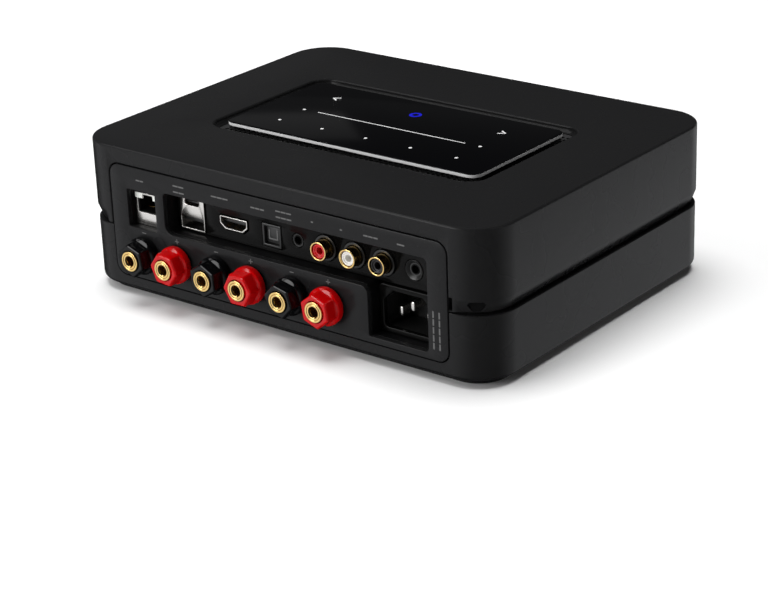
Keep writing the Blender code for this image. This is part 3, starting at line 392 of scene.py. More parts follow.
# %% [markdown]
# ## Blocks and plates
# A block with sharp edges looks like paper, so every block is bevelled as it is made. A plate is harder: it
# has one outline and many openings. Cutting the openings with Booleans leaves no eased edge, so the plate
# is made from its outlines instead. Each is drawn three times near the front, a little wider each time, and
# the flat between them is filled with triangles.

# %% Blocks and plates


def add_block(bm, low, high, edge=0.15 * MM):
    """A block with rounded edges."""
    made = bmesh.ops.create_cube(bm, size=1.0)["verts"]
    for vert in made:
        vert.co = [(l + h) / 2 + c * (h - l) for c, l, h in zip(vert.co, low, high)]
    edges = {e for vert in made for e in vert.link_edges}
    bmesh.ops.bevel(bm, geom=list(edges), offset=edge, segments=2, affect="EDGES", profile=0.5)


def add_plate(bm, outer, holes, front, thickness, edge=0.2 * MM):
    """An upright plate with openings and eased front edges. An outline is a function of its growth."""
    faces = {"front": [], "back": []}
    for outline, way in [(outer, -1)] + [(hole, 1) for hole in holes]:
        sections = [
            (outline(way * edge), front),
            (outline(way * edge * 0.3), front - edge * 0.3),
            (outline(0.0), front - edge),
            (outline(0.0), front - thickness),
        ]
        rings = [[bm.verts.new((x, y, z)) for x, z in points] for points, y in sections]
        for a, b in zip(rings, rings[1:]):
            for k in range(len(a)):
                j = (k + 1) % len(a)
                bm.faces.new((a[k], a[j], b[j], b[k]))
        for side, ring in (("front", rings[0]), ("back", rings[-1])):
            faces[side] += [bm.edges.get((ring[k - 1], ring[k])) for k in range(len(ring))]
    for side in faces.values():
        bmesh.ops.triangle_fill(bm, use_beauty=True, edges=side)


trial = bmesh.new()
add_block(trial, (0.0, 0.0, 0.0), (MM, MM, MM))
print("a bevelled block has", len(trial.faces), "faces")
trial.free()

# %% [markdown]
# ## Finishing a piece
# A piece is a mesh with a finish, and it has to say which body it rides on and which CAD nodes it stands for.
# Faces shade smoothly across small angles and stay crisp across large ones. The few openings that cross a
# curved wall are cut with cutters, which are thrown away once the cut is made.

# %% Pieces and cutters


def make_piece(name, bm, material, body="chassis", replaces=(), crease=32):
    """Turns a bmesh into a piece that rides on its body and stands for its CAD nodes."""
    bmesh.ops.recalc_face_normals(bm, faces=bm.faces)
    mesh = bpy.data.meshes.new(name)
    bm.to_mesh(mesh)
    bm.free()
    mesh.shade_smooth()
    mesh.set_sharp_from_angle(angle=math.radians(crease))
    mesh.materials.append(material)
    piece = bpy.data.objects.new(name, mesh)
    bpy.context.scene.collection.objects.link(piece)
    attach(piece, body)
    if replaces:
        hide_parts(*replaces)
    return piece


def carve(piece, cutters, crease=32):
    """Cuts the cutters out of a piece for good, and removes them."""
    for cutter in cutters:
        step = piece.modifiers.new(cutter.name, "BOOLEAN")
        step.object = cutter
        step.solver = "EXACT"
    graph = bpy.context.evaluated_depsgraph_get()
    mesh = bpy.data.meshes.new_from_object(piece.evaluated_get(graph))
    piece.modifiers.clear()
    piece.data = mesh
    mesh.shade_smooth()
    mesh.set_sharp_from_angle(angle=math.radians(crease))
    for cutter in cutters:
        bpy.data.objects.remove(cutter, do_unlink=True)


def make_cutter(name, bm):
    bmesh.ops.recalc_face_normals(bm, faces=bm.faces)
    mesh = bpy.data.meshes.new(name)
    bm.to_mesh(mesh)
    bm.free()
    cutter = bpy.data.objects.new(name, mesh)
    bpy.context.scene.collection.objects.link(cutter)
    return cutter


def node_box(node):
    """Lowest and highest x, y and z of a CAD node, and its centre."""
    low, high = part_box(node)
    return low, high, (low + high) / 2


# %% [markdown]
# ## Upper shell
# One casting: walls, a flat top, a recess for the glass and a chamfered foot over the dark groove. It could
# be carved from a block with Booleans, but then the long round corners would be cut too. Here one section
# is lofted round the plan outline, top recess included, so the corners stay evenly stepped and shade
# smoothly. The foot's chamfer fades to nothing along the rear, where the panel starts.

# %% Plan outline
_, case_high, _ = node_box("upper_shell")
HALF_X, HALF_Y, CASE_TOP = case_high.x, case_high.y, case_high.z
REAR = HALF_Y
PLAN_RADIUS = 18.5 * MM
WALL = 2.5 * MM
CORNER_STEPS = 20
UPPER_FOOT = 32.2 * MM
FOOT_IN, FOOT_UP = 2.0 * MM, 5.3 * MM
FADE_START, FADE_END = 92.0 * MM, 97.5 * MM
TOP_ROUND = 1.2 * MM
RECESS_HALF_X, RECESS_HALF_Y, RECESS_RADIUS = 73.0 * MM, 40.75 * MM, 9.0 * MM
TRAY_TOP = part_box("vent_tray")[1].z
CEILING = CASE_TOP - 3.0 * MM


def plan_ring(half_x, half_y, radius, z, inset=0.0):
    """A rounded rectangle seen from above. The inset is a length, or a function of the point."""
    points = []
    for quarter, (sx, sy) in enumerate(((1, 1), (-1, 1), (-1, -1), (1, -1))):
        for k in range(CORNER_STEPS + 1):
            angle = math.pi / 2 * (quarter + k / CORNER_STEPS)
            x = sx * (half_x - radius) + radius * math.cos(angle)
            y = sy * (half_y - radius) + radius * math.sin(angle)
            inward = inset(x, y) if callable(inset) else inset
            points.append((x - inward * math.cos(angle), y - inward * math.sin(angle), z))
    return points


def foot_inset(share):
    """The chamfer's inset at this share of its depth, fading out along the rear."""

    def inset(x, y):
        if y < 0:
            return share * FOOT_IN
        t = min(1.0, max(0.0, (abs(x) - FADE_START) / (FADE_END - FADE_START)))
        return share * FOOT_IN * t * t * (3 - 2 * t)

    return inset


def case_ring(z, inset=0.0):
    return plan_ring(HALF_X, HALF_Y, PLAN_RADIUS, z, inset)


def recess_ring(z, inset):
    return plan_ring(RECESS_HALF_X - inset, RECESS_HALF_Y - inset, RECESS_RADIUS - inset, z)


print("case:", [round(v / MM, 2) for v in (2 * HALF_X, 2 * HALF_Y, CASE_TOP)], "mm")

# %% [markdown]
# ## Lofting the upper shell
# The section runs from the chamfered foot up the wall, over the top's small round, down into the recess and
# back inside to the foot. Each point of the section becomes one ring of the plan outline, so it is a closed
# loop of rings, like a very flat tyre. More rings are spent where the light turns: on the two lips and in
# the recess.

# %% Upper shell
rings = [
    case_ring(UPPER_FOOT, foot_inset(1.06)),
    case_ring(UPPER_FOOT + 0.15 * MM, foot_inset(0.98)),
    case_ring(UPPER_FOOT + FOOT_UP - 0.2 * MM, foot_inset(0.04)),
    case_ring(UPPER_FOOT + FOOT_UP + 0.15 * MM),
]
for k in range(9):
    t = math.pi / 2 * k / 8
    rings.append(case_ring(CASE_TOP - TOP_ROUND * (1 - math.sin(t)), TOP_ROUND * (1 - math.cos(t))))
for k in range(7):  # over the recess's lip
    t = math.pi / 2 * k / 6
    rings.append(recess_ring(CASE_TOP - 0.9 * MM * (1 - math.cos(t)), -0.6 * MM + 0.9 * MM * math.sin(t)))
for k in range(1, 9):  # down its wall, which curves out into the floor
    t = k / 8
    fall = CASE_TOP - 0.9 * MM - TRAY_TOP - 0.3 * MM
    rings.append(recess_ring(CASE_TOP - 0.9 * MM - t * fall, 0.3 * MM + 1.3 * MM * t**2.2))
rings.append(recess_ring(TRAY_TOP + 0.3 * MM, -2.2 * MM))
rings.append(recess_ring(CEILING, -2.2 * MM))
rings.append(case_ring(CEILING, WALL + 0.2 * MM))
rings.append(case_ring(UPPER_FOOT, WALL + 0.2 * MM))
bm = bmesh.new()
add_rings(bm, rings, loop=True)
case_upper = make_piece("case_upper", bm, shell_grey, replaces=["upper_shell"])
print("upper shell:", len(case_upper.data.vertices), "points")

# %% [markdown]
# ## Rear opening, corner pocket and notch
# The panel sits in an opening that runs through both shells. The cutter flares over its last third of a
# millimetre, which leaves an eased edge that catches a thin line of light. A small pocket with a narrow foot
# is cut in the chamfer at one rear corner, and a short notch beside the panel's seam. A black sheet stands
# inside the pocket as painted shade, because a real pocket this narrow shows nothing but shadow.

# %% Openings in the shells
panel_low, panel_high, _ = node_box("rear_panel")
PANEL_RADIUS = 5.0 * MM
PANEL_SEAM = 0.6 * MM
FLARE = 0.3 * MM
POCKET_ANGLE = math.radians(34)
POCKET_DEPTH, SHADE_SHEET_DEPTH = 4.0 * MM, 2.2 * MM


def panel_outline(grow=0.0):
    return rectangle(panel_low.x, panel_high.x, panel_low.z, panel_high.z, PANEL_RADIUS, grow)


def opening_cutter(name):
    sections = [
        (PANEL_SEAM, REAR - 9 * MM),
        (PANEL_SEAM, REAR - FLARE),
        (PANEL_SEAM + 0.4 * FLARE, REAR - 0.35 * FLARE),
        (PANEL_SEAM + FLARE, REAR),
        (PANEL_SEAM + FLARE, REAR + MM),
    ]
    bm = bmesh.new()
    add_rings(bm, [[(x, y, z) for x, z in panel_outline(grow)] for grow, y in sections])
    return make_cutter(name, bm)


def pocket_solid(low, high, shrink):
    """The corner pocket's six-sided shape between two depths from the corner's surface."""
    foot, top, shoulder = UPPER_FOOT + 0.5 * MM, UPPER_FOOT + 4.9 * MM, UPPER_FOOT + 3.2 * MM
    corners = [(-1.7, foot), (1.7, foot), (3.8, shoulder), (2.9, top), (-2.9, top), (-3.8, shoulder)]
    outline = rounded([(x * MM * (1 - shrink), z) for x, z in corners], 0.7 * MM, 5)
    bm = bmesh.new()
    add_rings(bm, [[(x, y, z) for x, z in outline] for y in (low, high)])
    across = -(HALF_X - PLAN_RADIUS) - PLAN_RADIUS * math.sin(POCKET_ANGLE)
    along = (HALF_Y - PLAN_RADIUS) + PLAN_RADIUS * math.cos(POCKET_ANGLE)
    bm.transform(Matrix.Translation((across, along, 0.0)) @ Matrix.Rotation(POCKET_ANGLE, 4, "Z"))
    return bm


def notch_cutter():
    edge = panel_low.x - PANEL_SEAM
    low = UPPER_FOOT + 0.3 * MM
    bm = bmesh.new()
    add_block(bm, (edge - 1.8 * MM, REAR - 3.5 * MM, low), (edge + MM, REAR + MM, low + 5.6 * MM), 0.3 * MM)
    return make_cutter("seam_notch", bm)


pocket_cutter = make_cutter("corner_pocket", pocket_solid(-POCKET_DEPTH, POCKET_DEPTH, 0.0))
carve(case_upper, [opening_cutter("rear_opening"), pocket_cutter, notch_cutter()])
# A black sheet inside the pocket: painted shade, where the real pocket shows only shadow.
make_piece("pocket_shade_sheet", pocket_solid(-3.9 * MM, -SHADE_SHEET_DEPTH, 0.01), well_black)
print("upper shell after carving:", len(case_upper.data.polygons), "faces")

# %% [markdown]
# ## Lower shell
# The lower shell is a tub with a rounded foot. It is lofted from the same plan outline as the upper one, a
# little inset, so that the two walls line up at the corners. The rear opening is cut with the same cutter
# shape.

# %% Lower shell
LOWER_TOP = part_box("lower_shell")[1].z
LOWER_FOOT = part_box("lower_shell")[0].z
FOOT_ROUND = 2.4 * MM
LOWER_INSET = 0.3 * MM

rings = []
for k in range(9):
    t = math.pi / 2 * k / 8
    rings.append(
        case_ring(LOWER_FOOT + FOOT_ROUND * (1 - math.cos(t)), LOWER_INSET + FOOT_ROUND * (1 - math.sin(t)))
    )
rings.append(case_ring(LOWER_TOP - 0.3 * MM, LOWER_INSET))
rings.append(case_ring(LOWER_TOP, LOWER_INSET + 0.3 * MM))
rings.append(case_ring(LOWER_TOP, LOWER_INSET + WALL))
rings.append(case_ring(LOWER_FOOT + WALL, LOWER_INSET + WALL))
bm = bmesh.new()
add_rings(bm, rings)
case_lower = make_piece("case_lower", bm, shell_grey, replaces=["lower_shell"])
carve(case_lower, [opening_cutter("rear_opening_low")])
print("lower shell:", len(case_lower.data.polygons), "faces")

# %% [markdown]
# ## Base pad
# The rubber pad is smaller than the case, so the case seems to float over its own shadow. Its outline is
# the plan outline again, with a soft lower edge where it meets the table. Round holes go right through it,
# so that the case screws can be reached.

# %% Base pad
_, pad_high, _ = node_box("base_pad")
PAD_RADIUS = 13.0 * MM
SCREW_HOLE = 3.3 * MM
screw_nodes = sorted(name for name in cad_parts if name.startswith("case_screw_"))

bm = bmesh.new()
pad_sections = [(0.5, 0.0), (0.1, 0.15), (0.0, 0.5), (0.0, pad_high.z / MM)]
add_rings(
    bm, [plan_ring(pad_high.x, pad_high.y, PAD_RADIUS, z * MM, inset * MM) for inset, z in pad_sections]
)
pad = make_piece("foot_pad", bm, pad_rubber, replaces=["base_pad"])
holes = []
for node in screw_nodes:
    centre = node_box(node)[2]
    bm = bmesh.new()
    add_prism(bm, [(x, y) for x, y in circle(centre.x, centre.y, SCREW_HOLE, 32)], -MM, 5 * MM, "Z")
    holes.append(make_cutter("hole_" + node, bm))
carve(pad, holes)
print("pad:", [round(2 * v / MM, 1) for v in pad_high.xy], "mm, with", len(holes), "holes")

# %% [markdown]
# ## Case screws
# Four screws hold the base. Each is a turned head on a thinner shank, and a six-sided drive is cut into the
# head from below. A drawn hexagon would vanish in a low view, while a cut one catches the light on its
# walls.

# %% Case screws
DRIVE_RADIUS, DRIVE_DEPTH = 1.15 * MM, 0.8 * MM
SHANK_SHARE = 0.46  # shank radius as a share of the head's

for node in screw_nodes:
    low, high, centre = node_box(node)
    bm = bmesh.new()
    head = (high.x - low.x) / 2
    shank = head * SHANK_SHARE
    heights = [
        (head - 0.3 * MM, low.z),
        (head, low.z + 0.3 * MM),
        (head, low.z + 1.2 * MM),
        (shank, low.z + 1.3 * MM),
        (shank, high.z),
    ]
    add_rings(bm, [[(x, y, z) for x, y in circle(centre.x, centre.y, r, 32)] for r, z in heights])
    screw = make_piece("screw_" + node[-1], bm, screw_steel, replaces=[node])
    bm = bmesh.new()
    drive = [(centre.x + x, centre.y + y) for x, y in circle(0, 0, DRIVE_RADIUS, 6)]
    add_prism(bm, drive, low.z - MM, low.z + DRIVE_DEPTH, "Z")
    carve(screw, [make_cutter("drive_" + node[-1], bm)])
print("case screws:", len(screw_nodes))

# %% [markdown]
# ## Perforated tray
# The floor of the recess is a vent: rows of small holes that show round the edge of the glass. A texture of
# dots would look flat from a low angle, so these are real holes. The tray is a grid of square cells, and
# each cell in the open strip holds an eight-sided hole. Cells further under the glass are left plain,
# because nobody sees them.

# %% Perforated tray
tray_low, tray_high, _ = node_box("vent_tray")
HOLE_PITCH = 2.7 * MM
HOLE_RADIUS = 0.95 * MM
HIDDEN_X, HIDDEN_Y = 60.0 * MM, 26.0 * MM  # under the glass, inside this
OPEN_X, OPEN_Y, OPEN_RADIUS = 70.0 * MM, 37.8 * MM, 6.0 * MM


def in_open_strip(x, y):
    if abs(x) < HIDDEN_X and abs(y) < HIDDEN_Y:
        return False
    over_x, over_y = abs(x) - (OPEN_X - OPEN_RADIUS), abs(y) - (OPEN_Y - OPEN_RADIUS)
    return math.hypot(max(over_x, 0.0), max(over_y, 0.0)) < OPEN_RADIUS


def make_vent_tray():
    bm = bmesh.new()
    count_x = int((tray_high.x - tray_low.x) / HOLE_PITCH)
    count_y = int((tray_high.y - tray_low.y) / HOLE_PITCH)
    corners = {}

    def corner(i, j, z):
        if (i, j, z) not in corners:
            corners[i, j, z] = bm.verts.new(
                ((i - count_x / 2) * HOLE_PITCH, (j - count_y / 2) * HOLE_PITCH, z)
            )
        return corners[i, j, z]

    made = 0
    for i in range(count_x):
        for j in range(count_y):
            x, y = (i + 0.5 - count_x / 2) * HOLE_PITCH, (j + 0.5 - count_y / 2) * HOLE_PITCH
            square = [(i, j), (i + 1, j), (i + 1, j + 1), (i, j + 1)]
            if not in_open_strip(x, y):
                for z in (tray_low.z, tray_high.z):
                    bm.faces.new([corner(a, b, z) for a, b in square])
                continue
            made += 1
            rims = []
            for z in (tray_low.z, tray_high.z):
                rim = []
                for k in range(8):
                    t = math.pi / 4 * k - 3 * math.pi / 4
                    rim.append(
                        bm.verts.new((x + HOLE_RADIUS * math.cos(t), y + HOLE_RADIUS * math.sin(t), z))
                    )
                around = [corner(a, b, z) for a, b in square]
                for k in range(4):
                    a, b, c, d = rim[2 * k], rim[2 * k + 1], rim[(2 * k + 2) % 8], around[k]
                    bm.faces.new((d, a, b))
                    bm.faces.new((d, b, around[(k + 1) % 4]))
                    bm.faces.new((around[(k + 1) % 4], b, c))
                rims.append(rim)
            for k in range(8):
                j2 = (k + 1) % 8
                bm.faces.new((rims[0][k], rims[0][j2], rims[1][j2], rims[1][k]))
    border = [(i, 0) for i in range(count_x)] + [(count_x, j) for j in range(count_y)]
    border += [(i, count_y) for i in range(count_x, 0, -1)] + [(0, j) for j in range(count_y, 0, -1)]
    for a, b in zip(border, border[1:] + border[:1]):
        low, high = tray_low.z, tray_high.z
        bm.faces.new((corner(*a, low), corner(*b, low), corner(*b, high), corner(*a, high)))
    print("tray holes:", made)
    return make_piece("vent_grille", bm, vent_grey, replaces=["vent_tray"])


make_vent_tray()

# %% [markdown]
# ## Touch glass
# The control strip is a black glass sheet with a bright satin edge, which looks almost white and is what
# the eye reads first. A mirror-like metal edge would look dark here, because it would mirror the dark case,
# so the edge is a thin band of satin white with a thin black skin of glass over it. Band and glass are two
# lofts of the same plan outline, one inside the other. A smaller foot under the glass hides in its shadow.
# The glass stops a few hundredths of a millimetre short of the model's top, which leaves room for the
# printed marks.

# %% Glass and rim
glass_low, glass_high, _ = node_box("touch_glass")
GLASS_RADIUS = 5.0 * MM
RIM_WIDTH = 0.55 * MM
GLASS_SKIN = 0.22 * MM
RIM_HEIGHT = 1.35 * MM
GLASS_FOOT_INSET = 3.0 * MM
MARK_RISE = 0.03 * MM
glass_top = glass_high.z - MARK_RISE


def glass_ring(z, inset):
    return plan_ring(glass_high.x - inset, glass_high.y - inset, GLASS_RADIUS - inset, z)


bm = bmesh.new()
rim_top = glass_top - GLASS_SKIN
rim_low = rim_top - RIM_HEIGHT
rim_sections = [
    (0.15 * MM, rim_low),
    (0.0, rim_low + 0.15 * MM),
    (0.0, rim_top),
    (RIM_WIDTH, rim_top),
    (RIM_WIDTH, rim_low),
]
add_rings(bm, [glass_ring(z, inset) for inset, z in rim_sections], loop=True)
make_piece("glass_rim", bm, glass_rim)
bm = bmesh.new()
sheet_sections = [
    (GLASS_FOOT_INSET, glass_low.z),
    (GLASS_FOOT_INSET, rim_low),
    (RIM_WIDTH + 0.01 * MM, rim_low + 0.02 * MM),
    (RIM_WIDTH + 0.01 * MM, rim_top + 0.01 * MM),
    (0.03 * MM, rim_top + 0.01 * MM),
    (0.03 * MM, glass_top - 0.10 * MM),
    (0.06 * MM, glass_top - 0.03 * MM),
    (0.13 * MM, glass_top),
]
add_rings(bm, [glass_ring(z, inset) for inset, z in sheet_sections])
make_piece("glass_sheet", bm, glass_black, replaces=["touch_glass"])
print("glass:", [round(2 * v / MM, 1) for v in glass_high.xy], "mm")

# %% [markdown]
# ## Printed marks on the glass
# Plain touch marks: a slider with a dot at each end, a row of five preset dots, two chevrons and a blue
# ring. Each mark is a real raised shape a few hundredths of a millimetre thick, as screen printing is.

# %% Marks on the glass
DOT_RADIUS = 0.75 * MM
PRESET_Y, SLIDER_Y, ARROW_Y = 19.3 * MM, 2.2 * MM, -17.5 * MM
PRESET_XS = [x * MM for x in (-48, -24, 0, 24, 48)]
SLIDER_HALF, SLIDER_WIDTH = 40.2 * MM, 0.5 * MM
CHEVRON_X, CHEVRON_REACH, CHEVRON_HALF, CHEVRON_STROKE = 46.0 * MM, 3.4 * MM, 2.2 * MM, 0.85 * MM


def chevron(x, y, way):
    """An arrowhead outline: `way` is +1 where it points to +X."""
    tip, tail, stroke = CHEVRON_REACH / 2, -CHEVRON_REACH / 2, CHEVRON_STROKE
    corners = [
        (tip, 0.0),
        (tail, CHEVRON_HALF),
        (tail - stroke * 0.2, CHEVRON_HALF - stroke * 0.8),
        (tip - stroke * 1.5, 0.0),
        (tail - stroke * 0.2, stroke * 0.8 - CHEVRON_HALF),
        (tail, -CHEVRON_HALF),
    ]
    return [(x + way * u, y + v) for u, v in corners]


bm = bmesh.new()
dots = [(x, PRESET_Y) for x in PRESET_XS] + [(PRESET_XS[0], SLIDER_Y), (PRESET_XS[-1], SLIDER_Y)]
for x, y in dots:
    add_prism(bm, circle(x, y, DOT_RADIUS, 20), glass_top, glass_high.z, "Z")
slider = rectangle(
    -SLIDER_HALF, SLIDER_HALF, SLIDER_Y - SLIDER_WIDTH / 2, SLIDER_Y + SLIDER_WIDTH / 2, SLIDER_WIDTH * 0.4
)
add_prism(bm, slider, glass_top, glass_high.z, "Z")
add_prism(bm, chevron(CHEVRON_X, ARROW_Y, 1), glass_top, glass_high.z, "Z")
add_prism(bm, chevron(-CHEVRON_X, ARROW_Y, -1), glass_top, glass_high.z, "Z")
make_piece("glass_marks", bm, mark_white)
bm = bmesh.new()
ring_sections = [
    (2.9 * MM, glass_top), (2.9 * MM, glass_high.z), (1.5 * MM, glass_high.z), (1.5 * MM, glass_top)
]
add_rings(bm, [[(x, y, z) for x, y in circle(0.9 * MM, ARROW_Y, r, 40)] for r, z in ring_sections], loop=True)
make_piece("glass_ring_mark", bm, mark_blue)
print("marks:", len(dots), "dots, a slider, two chevrons and a ring")

# %% [markdown]
# ## Rear panel and wells
# The panel is a flat plate with an L-shaped opening for the socket row and the mains inlet, a window for
# the network socket and six post holes. `add_plate` eases every front edge, because a real moulded edge
# always has a small radius, and that radius is what draws the line of light round each opening.

# %% Rear panel and wells
well_low, well_high, _ = node_box("port_well")
inlet_low, inlet_high, _ = node_box("mains_inlet")
lan_low, lan_high, lan_centre = node_box("lan_jack")
lan_well_low, lan_well_high, _ = node_box("lan_well")
port_low, port_high, _ = node_box("port_plate")
WELL_WALL = 1.4 * MM
LAN_WELL_WALL = 0.7 * MM
WELL_FLOOR = port_low.z - 0.3 * MM
POST_HOLE = 4.8 * MM
post_nodes = [f"post_stud_{number}" for number in range(1, 7)]
post_places = [(node_box(node)[2].x, node_box(node)[2].z) for node in post_nodes]


def well_outline(grow=0.0):
    """The L-shaped well, from its walls' inner faces."""
    left, right = well_high.x - WELL_WALL, well_low.x + WELL_WALL
    top, foot = well_high.z - WELL_WALL, well_low.z + WELL_WALL
    step = inlet_high.x + 0.3 * MM
    corners = [
        (left + grow, top + grow),
        (right - grow, top + grow),
        (right - grow, foot - grow),
        (step + grow, foot - grow),
        (step + grow, WELL_FLOOR - grow),
        (left + grow, WELL_FLOOR - grow),
    ]
    radii = [2 * MM + grow, 2 * MM + grow, 2 * MM + grow, MM + grow, 3.5 * MM - grow, 4 * MM + grow]
    return rounded(corners, radii)


def lan_outline(grow=0.0):
    wall = LAN_WELL_WALL
    return rectangle(
        lan_well_low.x + wall,
        lan_well_high.x - wall,
        lan_well_low.z + wall,
        lan_well_high.z - wall,
        0.8 * MM,
        grow,
    )


def post_hole(x, z):
    return lambda grow=0.0: circle(x, z, POST_HOLE + grow, 48)


bm = bmesh.new()
holes = [well_outline, lan_outline] + [post_hole(x, z) for x, z in post_places]
add_plate(bm, panel_outline, holes, REAR, panel_high.y - panel_low.y, 0.28 * MM)
make_piece("rear_plate", bm, panel_grey, replaces=["rear_panel"])

for name, node, outline, wall in (
    ("socket_well", "port_well", well_outline, WELL_WALL),
    ("network_well", "lan_well", lan_outline, LAN_WELL_WALL),
):
    low, high, _ = node_box(node)
    bm = bmesh.new()
    add_plate(bm, lambda grow=0.0: outline(wall + grow), [outline], high.y, high.y - low.y, 0.05 * MM)
    make_piece(name, bm, well_black, replaces=[node])
print("post places:", [(round(x / MM, 1), round(z / MM, 1)) for x, z in post_places])

# %% [markdown]
# ## Port plate
# The smooth plate at the bottom of the well holds the row of sockets. It is glossier than the case, so it
# mirrors the well's dark floor. Each socket's hole follows the CAD box of the socket that fills it, plus a
# hair of room.

# %% Port plate
HAIR = 0.3 * MM
usb_low, usb_high, usb_centre = node_box("usb_stack")
video_low, video_high, video_centre = node_box("video_jack")
optical_low, optical_high, optical_centre = node_box("optical_jack")
rca_centres = [node_box(f"rca_barrel_{number}")[2] for number in (1, 2, 3)]
aux_centre, ir_centre = node_box("aux_jack")[2], node_box("ir_jack")[2]
AUX_RADIUS, IR_RADIUS, WASHER_RADIUS = 2.9 * MM, 4.3 * MM, 5.6 * MM


def port_outline(grow=0.0):
    corners = [
        (port_high.x + grow, port_high.z + grow),
        (port_low.x - grow, port_high.z + grow),
        (port_low.x - grow, port_low.z - grow),
        (port_high.x + grow, port_low.z - grow),
    ]
    return rounded(corners, [1.8 * MM + grow, 1.8 * MM + grow, 0.3 * MM + grow, 3.8 * MM + grow])


def box_hole(low, high, radius=0.5 * MM, room=HAIR):
    return lambda grow=0.0: rectangle(low.x - room, high.x + room, low.z - room, high.z + room, radius, grow)


def round_hole(centre, radius):
    return lambda grow=0.0: circle(centre.x, centre.z, radius + HAIR + grow, 48)


def video_outline(grow=0.0):
    """The video socket's outline, with its two lower corners tucked in."""
    half_x, half_z = (video_high.x - video_low.x) / 2 + grow, (video_high.z - video_low.z) / 2 + grow
    tuck, rise = 2.6 * MM, 2.2 * MM
    corners = [
        (half_x, half_z),
        (-half_x, half_z),
        (-half_x, rise - half_z),
        (tuck - half_x, -half_z),
        (half_x - tuck, -half_z),
        (half_x, rise - half_z),
    ]
    return rounded(
        [(video_centre.x + x, video_centre.z + z) for x, z in corners], max(0.6 * MM + grow, 0.1 * MM), 4
    )


bm = bmesh.new()
holes = [
    box_hole(usb_low, usb_high),
    lambda grow=0.0: video_outline(2 * HAIR + grow),
    box_hole(optical_low, optical_high),
    round_hole(aux_centre, AUX_RADIUS),
    round_hole(ir_centre, IR_RADIUS),
] + [round_hole(centre, WASHER_RADIUS) for centre in rca_centres]
add_plate(bm, port_outline, holes, port_high.y, port_high.y - port_low.y, 0.15 * MM)
make_piece("socket_plate", bm, port_grey, replaces=["port_plate"])
print("port plate:", len(holes), "holes")

# %% [markdown]
# ## Network socket
# A plated steel can with its mouth in the upper part and a blank lower face. Two light windows sit in the
# top corners, and eight sprung wires rise from the floor of the mouth. The wires are what makes it read as
# a network socket, so each one is a thin bar of its own.

# %% Network socket
MOUTH_HALF, MOUTH_LOW, MOUTH_HIGH = 5.9 * MM, 38.6 * MM, 45.8 * MM
LATCH_HALF, LATCH_HIGH = 3.1 * MM, 46.8 * MM
MOUTH_DEPTH = 13.0 * MM
WINDOW_WIDTH, WINDOW_HEIGHT = 4.3 * MM, 2.4 * MM
WIRE_PITCH, WIRE_WIDTH = 1.02 * MM, 0.45 * MM


def lan_mouth(grow=0.0):
    x = lan_centre.x
    corners = [
        (x - MOUTH_HALF - grow, MOUTH_LOW - grow),
        (x + MOUTH_HALF + grow, MOUTH_LOW - grow),
        (x + MOUTH_HALF + grow, MOUTH_HIGH + grow),
        (x + LATCH_HALF + grow, MOUTH_HIGH + grow),
        (x + LATCH_HALF + grow, LATCH_HIGH + grow),
        (x - LATCH_HALF - grow, LATCH_HIGH + grow),
        (x - LATCH_HALF - grow, MOUTH_HIGH + grow),
        (x - MOUTH_HALF - grow, MOUTH_HIGH + grow),
    ]
    return rounded(corners, 0.12 * MM, 2)


bm = bmesh.new()
lan_front = lan_high.y
add_plate(bm, box_hole(lan_low, lan_high, 0.3 * MM, 0.0), [lan_mouth], lan_front, MOUTH_DEPTH, 0.15 * MM)
add_block(bm, (lan_low.x, lan_low.y, lan_low.z), (lan_high.x, lan_front - MOUTH_DEPTH, lan_high.z))
make_piece("network_can", bm, nickel_plate, replaces=["lan_jack"])
bm = bmesh.new()
add_block(
    bm,
    (lan_centre.x - MOUTH_HALF, lan_front - MOUTH_DEPTH, MOUTH_LOW),
    (lan_centre.x + MOUTH_HALF, lan_front - MOUTH_DEPTH + 0.5 * MM, MOUTH_HIGH),
)
for side in (-1, 1):
    inner = lan_centre.x + side * (MOUTH_HALF - 0.35 * MM)
    outer = lan_centre.x + side * MOUTH_HALF
    add_block(
        bm,
        (min(inner, outer), lan_front - MOUTH_DEPTH, MOUTH_LOW),
        (max(inner, outer), lan_front - 0.6 * MM, MOUTH_HIGH),
    )
add_block(
    bm,
    (lan_centre.x - MOUTH_HALF, lan_front - MOUTH_DEPTH, MOUTH_LOW),
    (lan_centre.x + MOUTH_HALF, lan_front - 0.6 * MM, MOUTH_LOW + 0.25 * MM),
    0.05 * MM,
)
make_piece("network_liner", bm, well_black)
bm = bmesh.new()
for side in (-1, 1):
    edge = lan_centre.x + side * (lan_high.x - lan_low.x) / 2
    x0, x1 = sorted((edge - side * 0.25 * MM, edge - side * (0.25 * MM + WINDOW_WIDTH)))
    add_block(
        bm,
        (x0, lan_front - 0.8 * MM, lan_high.z - 0.2 * MM - WINDOW_HEIGHT),
        (x1, lan_front + 0.12 * MM, lan_high.z - 0.2 * MM),
    )
make_piece("network_lights", bm, led_window)
wires_low, wires_high, _ = node_box("lan_contacts")
bm = bmesh.new()
for k in range(8):
    x = lan_centre.x + (k - 3.5) * WIRE_PITCH
    a, b, t = x - WIRE_WIDTH / 2, x + WIRE_WIDTH / 2, 0.15 * MM
    path = [
        (wires_low.y, wires_low.z + 0.3 * MM),
        (wires_high.y - 3 * MM, wires_low.z + 0.3 * MM),
        (wires_high.y, wires_high.z),
    ]
    rings = [[(a, y, z - t), (b, y, z - t), (b, y, z + t), (a, y, z + t)] for y, z in path]
    add_rings(bm, rings)
make_piece("network_wires", bm, gold_plate, replaces=["lan_contacts"])
print("network socket with 8 wires")

# %% [markdown]
# ## USB pair
# One folded shell holds a small round-ended mouth above a wide flat one. The shell is a plate with two
# openings, drawn deep, and a block closes it behind. Each mouth has a plastic tongue with a row of gilt
# contacts. The video socket's tongue is made in the same loop, because only its sizes differ.

